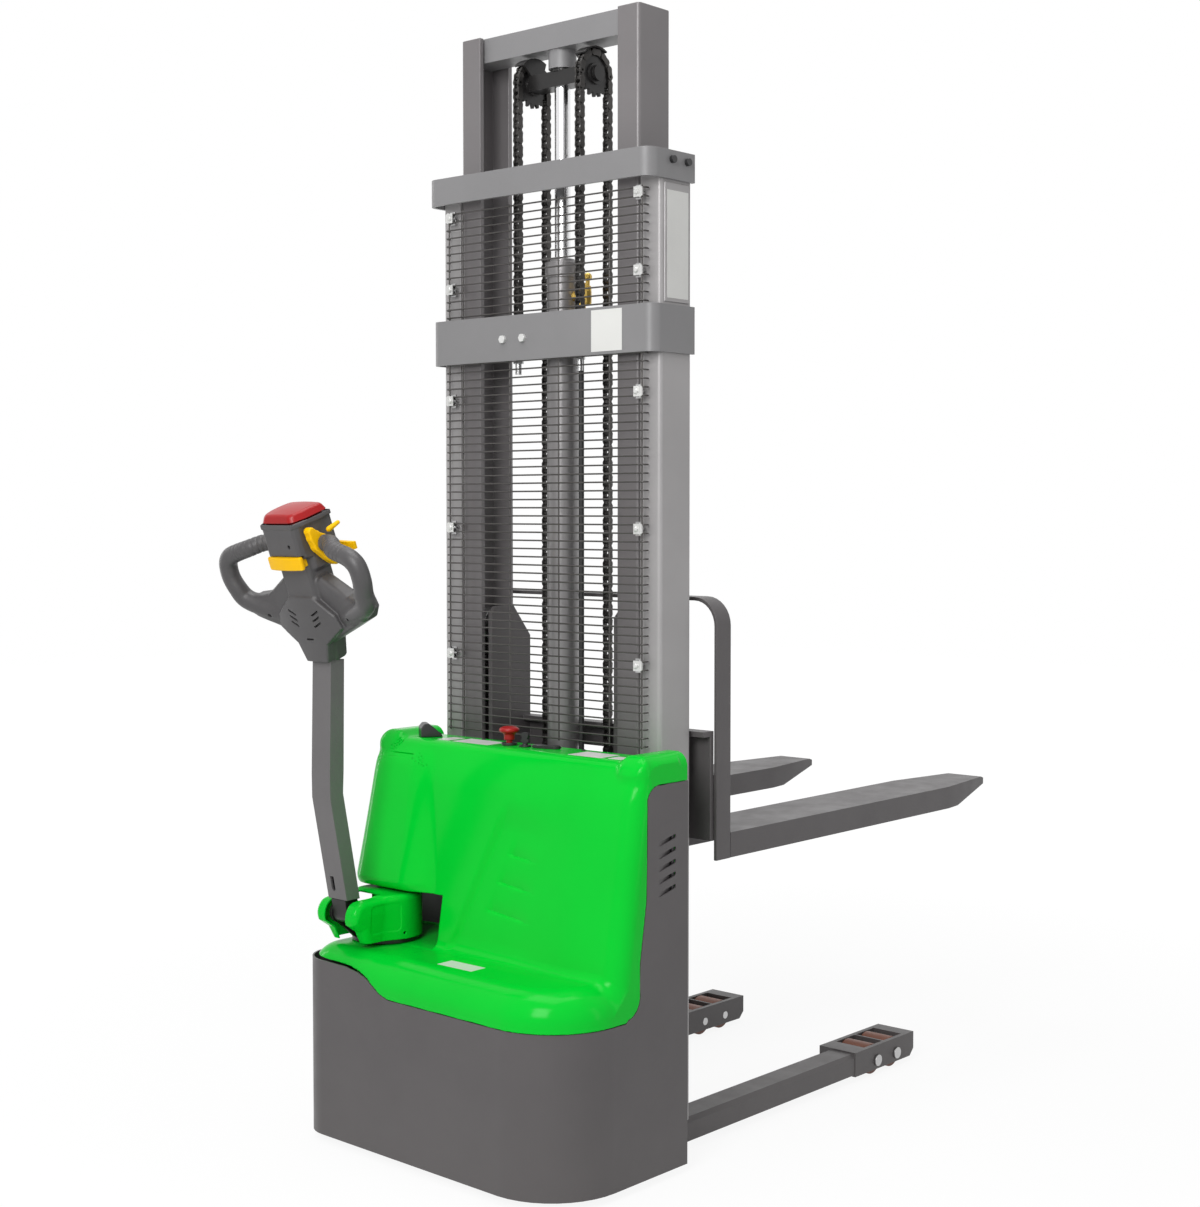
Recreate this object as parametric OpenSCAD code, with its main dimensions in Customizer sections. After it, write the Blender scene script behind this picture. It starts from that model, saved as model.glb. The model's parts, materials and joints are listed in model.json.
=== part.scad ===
// Walk-behind electric pallet stacker with a two-stage mast, straddle legs and an offset tiller.
// Millimetres. +X is the operator's right, +Y points to the fork tips, +Z is up.
// The origin lies on the floor, midway between the tiller head and the fork tips.
// Sizes along Y are measured from the mast's rear plane.

/* [Body] */
// Width over the lower body
body_w = 800; // [760:5:860]
// Distance from the mast's rear plane back to the rear face of the body
body_rear = 397; // [360:5:440]
// Gap between the floor and the lower body
ground_gap = 18; // [12:1:30]
// Wall thickness of the lower body panels
skirt_wall = 4; // [3:0.5:6]
// Height of the seam between hood and lower body at the rear
seam_h = 353; // [330:1:370]
// Height of that seam at the tiller corner
seam_high = 402; // [390:1:410]
// Drop from the deck down to the top of the lower body's side panels
side_panel_drop = 46; // [38:1:80]
// Radius of the rear right corner in plan
corner_r = 165; // [120:5:180]
// Radius of the rear left corner in plan
corner_r_left = 80; // [60:5:100]
// Wall thickness of the hood
hood_wall = 4; // [3:0.5:5]
// Height of the hood's deck
deck_h = 870; // [850:1:900]
// Height of the shelf around the tiller base
shelf_h = 432; // [420:1:440]
// Radius of the shelf's rounded edge
shelf_r = 62; // [45:1:66]
// Distance from the mast's rear plane back to the top edge of the operator face
face_top = 150; // [135:1:165]
// Distance from the mast's rear plane back to the foot of the operator face
face_foot = 226; // [215:1:240]
// Depth of the slanted relief in the operator face
relief_depth = 8; // [4:1:12]
// Clearance between the hood and the guard behind it
hood_front = 32; // [30:1:40]
// Height of the hood's end rolls above the deck
cheek_rise = 14; // [8:1:20]
// Radius of the hood's end rolls
cheek_r = 34; // [28:1:38]
// Depth of the tapered column over the tiller base, ahead of the operator face
column_out = 30; // [20:1:36]
// Number of ventilation slots in each side panel
vent_count = 5; // [3:1:7]
// Height pitch of the ventilation slots
vent_pitch = 26; // [22:1:30]

/* [Mast] */
// Height of the outer mast
mast_h = 2134; // [2000:1:2300]
// Width over the outer mast
mast_w = 646; // [620:1:680]
// Depth of the outer rails
rail_d = 104; // [96:1:116]
// Flange width of the rails
rail_flange = 55; // [45:1:60]
// Flange thickness of the rails
rail_t = 12; // [10:1:14]
// Web thickness of the rails
rail_web = 10; // [8:1:12]
// Outer corner radius of the rails
rail_r = 9; // [6:1:11]
// Side clearance between the outer flanges and the inner rails
rail_gap = 4; // [3:0.5:6]
// How far the inner mast is raised in the rest position
raise = 300; // [200:1:320]
// How far the inner mast stands above the outer mast when lowered
inner_over = 12; // [8:1:20]
// Length of the inner rails
inner_l = 2066; // [1960:1:2066]
// Height of the inner mast's top beam
top_beam_h = 54; // [48:1:56]
// Height of the upper strap around the mast
upper_strap_h = 60; // [50:1:70]
// Height of the middle strap around the mast
mid_strap_h = 100; // [80:1:110]
// Distance from the outer mast's top down to the middle strap's top edge
mid_strap_drop = 320; // [280:1:360]
// Thickness of the straps
strap_t = 8; // [6:1:9]
// Distance from the mast's rear plane back to the upper strap's rear face
upper_strap_out = 45; // [38:1:50]
// Distance from the mast's rear plane back to the middle strap's rear face
mid_strap_out = 32; // [31:1:36]

/* [Guard] */
// Wire thickness of the mast guard
wire_d = 4; // [3:0.5:5]
// Height pitch of the guard's horizontal wires
wire_pitch = 18; // [16:1:24]
// Width over the mast guard
guard_w = 594; // [580:1:600]
// Distance from the mast's rear plane back to the guard's rear face
guard_out = 21; // [20:0.5:22]
// Height of the guard's lowest wire
guard_bottom = 884; // [880:1:920]
// Sideways pitch of the guard's upright wires
upright_pitch = 147; // [120:1:160]

/* [Lifting gear] */
// Diameter of the lift cylinder
cylinder_d = 70; // [60:1:76]
// Height of the lift cylinder's top
cylinder_h = 1930; // [1850:1:1950]
// Diameter of the piston rod
rod_d = 35; // [30:1:40]
// Pitch of the lift chains
chain_pitch = 15.875; // [12.7, 15.875]
// Number of teeth on each chain sprocket
sprocket_teeth = 18; // [16:2:20]
// Sideways distance from the middle to each chain
chain_x = 92; // [84:1:100]
// Height of the chain plates
chain_h = 15; // [12:0.5:15.5]
// Width over the chain pins
chain_w = 18; // [16:0.5:19]
// Distance from the inner mast's top down to the sprocket shafts
sprocket_drop = 116; // [112:1:124]
// Diameter of the mast and carriage rollers
roller_d = 79.2; // [70:0.1:79.4]

/* [Carriage] */
// Height of the fork tops when lowered
fork_low = 85; // [84:1:95]
// Length of the forks
fork_l = 1149; // [1000:1:1220]
// Distance from the mast's rear plane to the fork face
fork_face = 202; // [190:1:210]
// Width over both forks
fork_over_w = 714; // [700:1:730]
// Width of one fork
fork_w = 166; // [150:1:170]
// Height of the fork section
fork_h = 55; // [50:1:58]
// Plate thickness of the forks
fork_t = 8; // [6:0.5:8]
// Length of the tapered fork nose
nose_l = 241; // [180:1:260]
// Width of the fork tip
tip_w = 96; // [80:1:120]
// Height of the load backrest above the fork tops
backrest_h = 512; // [400:1:520]
// Depth of the backrest strap
backrest_d = 50; // [40:1:50]
// Corner radius of the backrest
backrest_r = 62; // [40:1:80]
// Height of the carriage plate above the fork tops
carriage_h = 225; // [180:1:260]
// Height of the carriage's side plates above the fork tops
side_plate_h = 480; // [440:1:490]
// Thickness of the carriage plates
carriage_t = 12; // [10:1:14]

/* [Legs and wheels] */
// Width over the straddle legs' end frames
leg_over_w = 640; // [600:1:650]
// Distance from the mast's rear plane to the front end of the legs
leg_reach = 1009; // [900:1:1060]
// Width of a leg beam
leg_w = 78; // [70:1:90]
// Height of a leg beam
leg_h = 50; // [45:1:52]
// Gap between the floor and a leg beam
leg_gap = 20; // [16:1:24]
// Width of a leg's end frame
end_w = 105; // [95:1:110]
// Length of a leg's end frame
end_l = 261; // [240:1:280]
// Diameter of the load rollers
load_roller_d = 74; // [70:1:76]
// Distance from the leg's end back to the first roller axle
axle_1 = 80; // [60:1:84]
// Distance from the leg's end back to the second roller axle
axle_2 = 166; // [160:1:175]
// Diameter of the drive wheel
drive_d = 206; // [196:1:207]
// Width of the drive wheel
drive_w = 66; // [56:1:68]
// Diameter of the caster wheel
caster_d = 130; // [115:1:140]
// Width of the caster wheel
caster_w = 55; // [45:1:60]
// Distance from the body's right side in to the caster's swivel axis
caster_inset = 115; // [110:1:130]

/* [Tiller] */
// Distance from the body's left side in to the steering axis
steer_inset = 115; // [110:1:125]
// Distance from the mast's rear plane back to the steering axis
steer_back = 220; // [214:1:226]
// Radius of the pocket that the tiller base turns in
well_r = 165; // [160:1:168]
// Height of the pocket's ceiling
well_top = 545; // [543:1:552]
// Distance from the steering axis back to the tiller's pivot
pivot_back = 115; // [110:1:120]
// Height of the tiller's pivot
pivot_h = 505; // [500:1:508]
// Width of the tiller arm
arm_w = 60; // [50:1:64]
// Depth of the tiller arm
arm_d = 38; // [32:1:42]
// Length of the tiller arm from its pivot up to the head
arm_l = 560; // [500:1:600]
// Wall thickness of the tiller arm
arm_wall = 4; // [3:0.5:6]
// Backward tilt of the tiller head in degrees
head_tilt = 20; // [14:1:24]
// Width over the tiller head's grips
head_w = 466; // [420:2:480]
// Length of the tiller head
head_l = 345; // [335:1:350]
// Thickness of the grips
grip_d = 40; // [34:1:44]

/* [Hidden] */
$fn = 48;
eps = 0.02;
seat_gap = 0.3;
chain_plate = 1.8;
strap_bolt_d = 10;
bolt_xs = [-100, -40];
clip_gaps = [9, 25, 41, 55, 64];
beam_y0 = -9;
anchor_beam_h = 50;
anchor_plate_t = 12;
stub_d = 26;
stub_l = 44;
boss_d = 62;
tie_h = 60;
anchor_d = 14;
gauge_turn = -35;
paddle_v = 229;
paddle_w = -70;
knuckle_w = 46;
steer_x = steer_inset - body_w / 2;
side_panel_h = deck_h - side_panel_drop;
throttle_v = 262;
throttle_w = -14;
lever_x = 76;
lever_t = 13.6;
e_stop_x = -36;
key_x = 12;
gauge_x = steer_x - 1;
deck_line = 82;

// Centre of the overall box, measured from the mast's middle and rear plane
head_front = 38;
head_rear = steer_back + pivot_back + 49 + (head_l - 40) * sin(head_tilt) + head_front * cos(head_tilt);
mid_y = (fork_face + fork_l - head_rear) / 2;
mid_x = (body_w / 2 + steer_x - head_w / 2) / 2;

// Points on an arc, from angle a0 to a1
function arc(cx, cy, r, a0, a1, n = 6) =
    [for (i = [0:n]) [cx + r * cos(a0 + (a1 - a0) * i / n), cy + r * sin(a0 + (a1 - a0) * i / n)]];

// Plan outline of the body, drawn in by a distance t
function plan(t) = concat(
    [[body_w / 2 - t, 0]],
    arc(body_w / 2 - corner_r, corner_r - body_rear, corner_r - t, 0, -90, 10),
    arc(corner_r_left - body_w / 2, corner_r_left + 17 - body_rear, corner_r_left - t, -90, -180, 8),
    [[t - body_w / 2, 0]]);

module from_mast() {
    translate([-mid_x, -mid_y, 0]) children();
}

module mirrored() {
    children();
    mirror([1, 0, 0]) children();
}

module side(right) {
    if (right) children();
    else mirror([1, 0, 0]) children();
}

// Extrudes a Y-Z outline along X, centred on X = 0
module across(w) {
    rotate([90, 0, 90]) linear_extrude(w, center = true) children();
}

// Extrudes an X-Z outline along Y, from y0 to y1
module along(y0, y1) {
    translate([0, y1, 0]) rotate([90, 0, 0]) linear_extrude(y1 - y0) children();
}

// Cylinder along X between two places
module x_rod(d, x0, x1, y, z) {
    translate([x0, y, z]) rotate([0, 90, 0]) cylinder(d = d, h = x1 - x0);
}

module slot_2d(l, w) {
    hull() {
        translate([w / 2 - l / 2, 0]) circle(d = w, $fn = 16);
        translate([l / 2 - w / 2, 0]) circle(d = w, $fn = 16);
    }
}

// Places shared by several pieces
outer_x = mast_w / 2;
inner_x = outer_x - rail_flange - rail_gap;
rail_y = 1.5;
rail_mid = rail_y + rail_d / 2;
foot_h = leg_gap + leg_h;
inner_top = mast_h + inner_over + raise;
inner_bottom = inner_top - inner_l;
leg_outer = leg_over_w / 2 - 2;
leg_y0 = -38;
end_y = leg_reach - end_l;
end_h0 = 15;
end_h1 = 74;
deck_z = 216;
deck_t = 8;
bulkhead_y = -48;
guard_top = mast_h - upper_strap_h - 3;
mid_top = mast_h - mid_strap_drop;
mid_bottom = mid_top - mid_strap_h;
steer_y = -steer_back;
pivot_y = steer_y - pivot_back;
sprocket_z = inner_top - sprocket_drop;
sprocket_y = rail_mid;
boss_h = sprocket_drop - top_beam_h - 22;
rod_top = inner_top - top_beam_h - boss_h;
pitch_r = chain_pitch / 2 / sin(180 / sprocket_teeth);
back_chain_y = sprocket_y - pitch_r;
front_chain_y = sprocket_y + pitch_r;
fork_z = fork_low + 2 * raise;
plate_y1 = fork_face - backrest_d;
plate_y0 = plate_y1 - carriage_t;
side_plate_x = inner_x - rail_flange - 14;
side_plate_top = fork_z + side_plate_h;
side_plate_bottom = fork_z - fork_t - 4;
carriage_top = fork_z + carriage_h;
carriage_roller_top = side_plate_top - 44;
carriage_roller_low = fork_z + 42;
mast_roller_z = inner_bottom + 70;
anchor_z = guard_bottom + wire_pitch * ceil((mid_bottom - guard_bottom) / wire_pitch) + wire_d + 2;
front_anchor_z = fork_z + 110;
pipe_d = 12;
pipe_x = cylinder_d / 2 + 20;
pipe_z = 71;
pipe_back = -100;
caster_x = body_w / 2 - caster_inset;
caster_y = -236;
caster_pad = 50;
caster_pin_d = 24;
caster_trail = 28;
caster_axle_d = 12;
battery_back = 330;
battery_gap = 4;
battery_side_gap = 66;
battery_d = 168;
battery_h = 178;
battery_lid_h = 10;
post_d = 17;
post_inset = 32;
valve_l = 110;
valve_d = 66;
valve_h = 92;
pump_motor_d = 104;
pump_motor_l = 150;
tank_l = 150;
tank_d = 84;
tank_h = 240;
tank_cap_d = 34;
controller_l = 190;
controller_d = 62;
controller_h = 150;
fin_t = 5;
fin_d = 14;
bearing_h = 14;
bearing_d = 196;
bearing_bore = 151.1;
bearing_bolt_r = 86;
motor_d = 132;
motor_h = 150;
motor_flange_d = 186;
motor_flange_h = 9;
battery_x0 = steer_x + motor_flange_d / 2 + 6;
battery_l = (body_w / 2 - battery_side_gap - battery_x0 - battery_gap) / 2;
battery_xs = [battery_x0, battery_x0 + battery_l + battery_gap];
gear_d = 104;
gear_t = 38;
wheel_hub_d = 30;
column_d = 64;
turntable_d = 152;
turntable_h = 8;
pivot_d = 16;
lug_t = 8;
clip_w = 18;
clip_h = 30;
clip_t = 3;
clip_bolt_d = 9;
chassis_rib_h = side_panel_h - 264;
chassis_rib_w = 40;
bulkhead_t = 8;
motor_z = deck_z + deck_t + bearing_h + seat_gap;

// C-section of a mast rail, web on the +X side at x = 0, flanges toward -X
module rail_section(w) {
    difference() {
        polygon(concat([[-w, rail_d], [-w, 0]],
            arc(-rail_r, rail_r, rail_r, -90, 0), arc(-rail_r, rail_d - rail_r, rail_r, 0, 90)));
        translate([-w - 1, rail_t]) square([w + 1 - rail_web, rail_d - 2 * rail_t]);
    }
}

module outer_rail(right) {
    plate_w = rail_d - 24;
    color("dimgray") from_mast() side(right) {
        translate([outer_x, rail_y, foot_h]) linear_extrude(mast_h - foot_h) rail_section(rail_flange);
        translate([outer_x - eps, rail_mid - plate_w / 2, mid_top + 6])
            cube([2.5, plate_w, mast_h - upper_strap_h - mid_top - 12]);
    }
}

module outer_mast_left() { outer_rail(false); }
module outer_mast_right() { outer_rail(true); }

module inner_rail(right) {
    color("gray") from_mast() side(right) {
        translate([inner_x, rail_y, inner_bottom]) linear_extrude(inner_l) rail_section(rail_flange + 5);
        x_rod(stub_d, inner_x - eps, inner_x + stub_l, rail_mid, mast_roller_z);
    }
}

module inner_mast_left() { inner_rail(false); }
module inner_mast_right() { inner_rail(true); }

module inner_beams() {
    beam_w = 2 * (inner_x - rail_web);
    tie_w = 2 * (inner_x - rail_flange - 5);
    color("gray") from_mast() {
        translate([-beam_w / 2, rail_y + rail_t + 6, inner_top - top_beam_h])
            cube([beam_w, rail_d - 2 * rail_t - 12, top_beam_h]);
        translate([0, sprocket_y, rod_top]) cylinder(d = boss_d, h = boss_h + eps);
        translate([-tie_w / 2, rail_y + 2, inner_bottom + 6]) cube([tie_w, 10, tie_h]);
    }
}

// Flat bar bent round the back of the mast, with a round corner at each side
module strap_plan(out, r) {
    x1 = outer_x + 0.3 + strap_t;
    y1 = rail_y + rail_d;
    difference() {
        polygon(concat([[x1, y1]], arc(x1 - r, r - out, r, 0, -90, 8),
            arc(r - x1, r - out, r, -90, -180, 8), [[-x1, y1]]));
        polygon(concat([[x1 - strap_t, y1 + 1]],
            arc(x1 - r, r - out, r - strap_t, 0, -90, 8),
            arc(r - x1, r - out, r - strap_t, -90, -180, 8), [[strap_t - x1, y1 + 1]]));
    }
}

module upper_strap() {
    color("dimgray") from_mast() difference() {
        translate([0, 0, mast_h - upper_strap_h])
            linear_extrude(upper_strap_h) strap_plan(upper_strap_out, 30);
        mirrored() for (y = [28, 78])
            x_rod(strap_bolt_d, outer_x, outer_x + 20, y, mast_h - 20);
    }
}

module middle_strap() {
    color("dimgray") from_mast() difference() {
        translate([0, 0, mid_bottom]) linear_extrude(mid_strap_h) strap_plan(mid_strap_out, 26);
        for (x = bolt_xs) translate([x, 0, mid_top - 52])
            rotate([90, 0, 0]) cylinder(d = strap_bolt_d + 0.4, h = 60);
    }
}

// Cross beam behind the rails that holds the fixed ends of the lift chains
module anchor_beam() {
    beam_x = guard_w / 2 - 7;
    rail_x = outer_x - rail_flange + 2;
    color("dimgray") from_mast() {
        translate([-beam_x, beam_y0, anchor_z]) cube([2 * beam_x, rail_y - 1 - beam_y0, anchor_beam_h]);
        mirrored() {
            translate([rail_x, beam_y0, anchor_z]) cube([beam_x - rail_x, rail_y - beam_y0, anchor_beam_h]);
            difference() {
                translate([chain_x - 17, beam_y0, anchor_z])
                    cube([34, back_chain_y + 14 - beam_y0, anchor_plate_t]);
                translate([chain_x, back_chain_y, anchor_z - 1])
                    cylinder(d = anchor_d + 0.4, h = anchor_plate_t + 2);
            }
        }
    }
}

// Socket screws in the upper strap's ends and hexagon bolts through the middle strap
module strap_bolts() {
    color("silver") from_mast() {
        mirrored() for (y = [28, 78]) {
            x_rod(strap_bolt_d - 0.2, outer_x + 0.3, outer_x + strap_t + 1, y, mast_h - 20);
            x_rod(16, outer_x + strap_t + 0.3, outer_x + strap_t + 9, y, mast_h - 20);
        }
        for (x = bolt_xs) translate([x, -mid_strap_out, mid_top - 52]) rotate([90, 0, 0]) {
            translate([0, 0, -strap_t - 1]) cylinder(d = strap_bolt_d, h = strap_t + 4);
            cylinder(d = 19, h = 7, $fn = 6);
        }
    }
}

module guard_wire() {
    bend = 16;
    x1 = guard_w / 2;
    linear_extrude(wire_d) polygon([[-x1, -guard_out], [x1, -guard_out], [x1, bend - guard_out],
        [x1 - wire_d, bend - guard_out], [x1 - wire_d, wire_d - guard_out],
        [wire_d - x1, wire_d - guard_out], [wire_d - x1, bend - guard_out], [-x1, bend - guard_out]]);
}

module mast_guard() {
    wires = floor((guard_top - guard_bottom) / wire_pitch);
    uprights = concat([for (i = [-1:2]) (i - 0.67) * upright_pitch],
        [-guard_w / 2 + 8, guard_w / 2 - 8 - wire_d]);
    color("silver") from_mast() {
        for (i = [0:wires]) translate([0, 0, guard_bottom + i * wire_pitch]) guard_wire();
        for (x = uprights) translate([x, wire_d / 2 - guard_out, guard_bottom - 3])
            cube([wire_d, wire_d, wires * wire_pitch + wire_d + 6]);
    }
}

// Clips that hold the guard's edge wires to the rails
module guard_clips() {
    clip_x = guard_w / 2 - 19;
    color("silver") from_mast() mirrored()
        for (k = clip_gaps) translate([clip_x, 0, guard_bottom + (k + 0.5) * wire_pitch + wire_d / 2]) {
            translate([-clip_w / 2, wire_d * 1.5 - guard_out + 0.3, -clip_h / 2])
                cube([clip_w, clip_t, clip_h]);
            translate([0, rail_y - 0.3, 0]) rotate([90, 0, 0])
                cylinder(d = clip_bolt_d, h = guard_out + rail_y - wire_d * 1.5 - clip_t);
            translate([0, wire_d * 1.5 - guard_out + 0.4, 0]) rotate([90, 0, 0])
                cylinder(d = clip_bolt_d + 3, h = 6, $fn = 6);
        }
}

module lift_cylinder() {
    gland_h = 34;
    color("dimgray") from_mast() translate([0, sprocket_y, 0]) difference() {
        union() {
            translate([0, 0, foot_h - 10]) cylinder(d = cylinder_d, h = cylinder_h - foot_h + 10 - gland_h);
            translate([0, 0, cylinder_h - gland_h - eps]) cylinder(d = cylinder_d + 6, h = gland_h);
            translate([0, 0, cylinder_h - eps]) cylinder(d = cylinder_d - 16, h = 8);
        }
        translate([0, 0, foot_h + 20]) cylinder(d = rod_d + 0.1, h = cylinder_h);
    }
}

module piston_rod() {
    color("white") from_mast() translate([0, sprocket_y, foot_h + raise + 60])
        cylinder(d = rod_d, h = rod_top - foot_h - raise - 60);
}

// Elbow and flow valve on the side of the cylinder head
module hose_fitting() {
    fit_z = cylinder_h - 76;
    x0 = cylinder_d / 2;
    color("goldenrod") from_mast() {
        x_rod(22, x0 + 0.2, x0 + 14, sprocket_y, fit_z);
        translate([x0 + 20, sprocket_y, fit_z - 34]) cylinder(d = 20, h = 62);
        translate([x0 + 20, sprocket_y, fit_z + 28 - eps]) cylinder(d = 12, h = 14);
        translate([x0 + 20, sprocket_y, fit_z - 46]) cylinder(d = 24, h = 14, $fn = 6);
        x_rod(14, x0 + 12, x0 + 40, sprocket_y, fit_z + 8);
    }
}

// Quarter bend in the Y-Z plane, from pointing down to pointing back
module pipe_bend(r, d) {
    rotate([90, 0, -90]) rotate([0, 0, 180]) rotate_extrude(angle = 90) translate([r, 0]) circle(d = d);
}

// Pressure pipe from the fitting down inside the mast, under the inner mast and back
module lift_hose() {
    r = 40;
    z1 = cylinder_h - 122;
    color("black") from_mast() translate([pipe_x, 0, 0]) {
        translate([0, sprocket_y, pipe_z + r]) cylinder(d = pipe_d, h = z1 - pipe_z - r);
        translate([0, sprocket_y - r, pipe_z + r]) pipe_bend(r, pipe_d);
        translate([0, sprocket_y - r, pipe_z]) rotate([90, 0, 0])
            cylinder(d = pipe_d, h = sprocket_y - r - pipe_back - r);
        translate([0, pipe_back + r, pipe_z + r]) rotate([0, 0, 180]) pipe_bend(r, pipe_d);
        translate([0, pipe_back, pipe_z + r]) cylinder(d = pipe_d, h = deck_z + deck_t + 2 - pipe_z - r);
    }
}

// Threaded chain anchors with nuts under the middle strap
module chain_anchors() {
    color("silver") from_mast() mirrored() translate([chain_x, back_chain_y, 0]) {
        translate([0, 0, anchor_z - 50]) cylinder(d = anchor_d, h = 92);
        for (z = [-13, -26]) translate([0, 0, anchor_z + z]) cylinder(d = 24, h = 12, $fn = 6);
        translate([-7, -6, anchor_z + 40]) cube([14, 12, 22]);
    }
}

module chassis_frame() {
    tie_x = leg_outer - leg_w;
    bulkhead_w = body_w - 2 * (skirt_wall + seat_gap);
    color("darkslategray") from_mast() difference() {
        union() {
            translate([0, 0, deck_z]) linear_extrude(deck_t)
                intersection() {
                    polygon(plan(skirt_wall + seat_gap));
                    translate([-body_w, -body_w]) square([2 * body_w, body_w - 40]);
                }
            translate([-bulkhead_w / 2, bulkhead_y, foot_h + 1])
                cube([bulkhead_w, bulkhead_t, side_panel_h - 60]);
            translate([-tie_x, leg_y0, leg_gap])
                cube([2 * tie_x, rail_y + rail_d - leg_y0, leg_h - 10]);
            mirrored() translate([outer_x - chassis_rib_w - 4, bulkhead_y, foot_h])
                cube([chassis_rib_w, rail_y - bulkhead_y, chassis_rib_h]);
            translate([caster_x - caster_pad, caster_y - caster_pad, deck_z - caster_pad])
                cube([2 * caster_pad, 2 * caster_pad, caster_pad + eps]);
        }
        translate([steer_x, steer_y, deck_z - 1]) cylinder(d = bearing_bore + 5, h = deck_t + 2);
        translate([caster_x, caster_y, deck_z - caster_pad - 1])
            cylinder(d = caster_pin_d + 0.1, h = caster_pad - 5);
        translate([pipe_x, 0, pipe_z]) rotate([90, 0, 0]) cylinder(d = pipe_d + 10, h = 80);
        translate([pipe_x, pipe_back, deck_z - 1]) cylinder(d = pipe_d + 6, h = deck_t + 2);
    }
}

// One straddle leg with its roller frame
module leg(right) {
    inner = leg_outer - leg_w;
    end_x0 = leg_over_w / 2 - end_w;
    bev = 9;
    color("dimgray") from_mast() side(right) difference() {
        union() {
            along(leg_y0, end_y + 12) polygon([[inner, leg_gap], [leg_outer, leg_gap],
                [leg_outer, foot_h - bev], [leg_outer - bev, foot_h], [inner + bev, foot_h],
                [inner, foot_h - bev]]);
            translate([end_x0, end_y, end_h0]) cube([end_w, end_l, end_h1 - end_h0]);
        }
        for (a = [axle_1, axle_2]) {
            translate([end_x0 + 12, leg_reach - a - load_roller_d / 2 - 3, -1])
                cube([end_w - 24, load_roller_d + 6, 100]);
            x_rod(20.2, end_x0 - 1, leg_over_w / 2 + 1, leg_reach - a, load_roller_d / 2);
        }
        translate([end_x0 - 1, leg_reach, end_h0]) rotate([0, 90, 0])
            rotate([0, 0, 45]) cube([24, 24, 300], center = true);
    }
}

module leg_left() { leg(false); }
module leg_right() { leg(true); }

module roller_axles() {
    x0 = leg_over_w / 2 - end_w;
    color("silver") from_mast() mirrored() for (a = [axle_1, axle_2]) {
        x_rod(20, x0 - 1, leg_over_w / 2, leg_reach - a, load_roller_d / 2);
        x_rod(28, leg_over_w / 2 + 0.3 - eps, leg_over_w / 2 + 6, leg_reach - a, load_roller_d / 2);
    }
}

module load_roller(right, a) {
    x1 = leg_over_w / 2 - 15;
    color("saddlebrown") from_mast() side(right) difference() {
        x_rod(load_roller_d, x1 - end_w + 30, x1, leg_reach - a, load_roller_d / 2);
        x_rod(20.1, x1 - end_w, x1 + 1, leg_reach - a, load_roller_d / 2);
        for (x = [x1 - end_w + 29, x1 - 6]) x_rod(46, x, x + 7, leg_reach - a, load_roller_d / 2);
    }
}

module load_roller_1() { load_roller(false, axle_1); }
module load_roller_2() { load_roller(false, axle_2); }
module load_roller_3() { load_roller(true, axle_1); }
module load_roller_4() { load_roller(true, axle_2); }

// Region that belongs to the lower body, under the seam
module seam_region() {
    along(-body_rear - 10, 10) polygon([[-body_w, 0], [body_w, 0], [body_w, seam_h], [-100, seam_h],
        [-128, seam_h + 8], [-170, seam_high - 16], [-200, seam_high - 6], [-240, seam_high],
        [-body_w, seam_high + 6]]);
}

module panel_region() {
    across(2 * body_w) polygon(concat([[10, 0], [10, side_panel_h], [-60, side_panel_h]],
        arc(-95, side_panel_h - 34, 34, 75, 170, 6),
        [[-132, side_panel_h - 230], [-152, seam_high + 68]],
        arc(-196, seam_high, 44, 20, -84, 5), [[-212, seam_h - 20], [-212, 0]]));
}

module vents() {
    for (i = [0:vent_count - 1])
        translate([0, -67, side_panel_h - 168 + (i - (vent_count - 1) / 2) * vent_pitch])
        rotate([0, 90, 0]) rotate([0, 0, 90 + 13])
            linear_extrude(body_w + 20, center = true) slot_2d(58, 9);
}

module skirt() {
    color("dimgray") from_mast() difference() {
        translate([0, 0, ground_gap]) linear_extrude(side_panel_h) polygon(plan(0));
        linear_extrude(deck_h + 20) {
            polygon(plan(skirt_wall));
            translate([skirt_wall - body_w / 2, -5]) square([body_w - 2 * skirt_wall, 10]);
        }
        difference() {
            translate([-body_w, -body_w, 0]) cube([2 * body_w, body_w + 20, deck_h + 60]);
            seam_region();
            panel_region();
        }
        vents();
    }
}

// Height of the operator face's line at a height z, as a distance back from the mast
function face_back(z) = face_foot + (face_top - face_foot) * (z - shelf_h) / (deck_h - shelf_h);

// Plan of a block with round rear corners, from the hood's front to its rear
module block_layer(x0, x1, back, r, front, z) {
    translate([0, 0, z]) linear_extrude(0.5) polygon(concat([[x1, -front]],
        arc(x1 - r, r - back, r, 0, -90, 9), arc(x0 + r, r - back, r, -90, -180, 9), [[x0, -front]]));
}

module hood_tower(t) {
    w = body_w / 2 - t;
    front = t > 0 ? hood_front - 3 : hood_front;
    hull() {
        block_layer(-w, w, face_back(seam_h - 20) - t, 46 - t, front, seam_h - 20 - t);
        block_layer(-w, w, face_back(deck_h - 30) - t, 40 - t, front, deck_h - 30 - t);
        block_layer(4 - w, w - 4, face_back(deck_h) - t + 1, 36 - t, front, deck_h - 13 - t);
        block_layer(14 - w, w - 14, face_back(deck_h) - t - 9, 26 - t, front, deck_h - 4 - t);
        block_layer(26 - w, w - 26, face_back(deck_h) - t - 21, 14 - t, front, deck_h - 0.5 - t);
    }
}

module hood_shelf(t) {
    hull() {
        translate([0, 0, seam_h - 20 - t]) linear_extrude(0.5) polygon(plan(t));
        for (a = [0:10:90])
            translate([0, 0, shelf_h - 0.5 - t + (shelf_r - t) * (sin(a) - 1)])
                linear_extrude(0.5) polygon(plan(t + (shelf_r - t) * (1 - cos(a)) * 1.25));
    }
}

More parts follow.
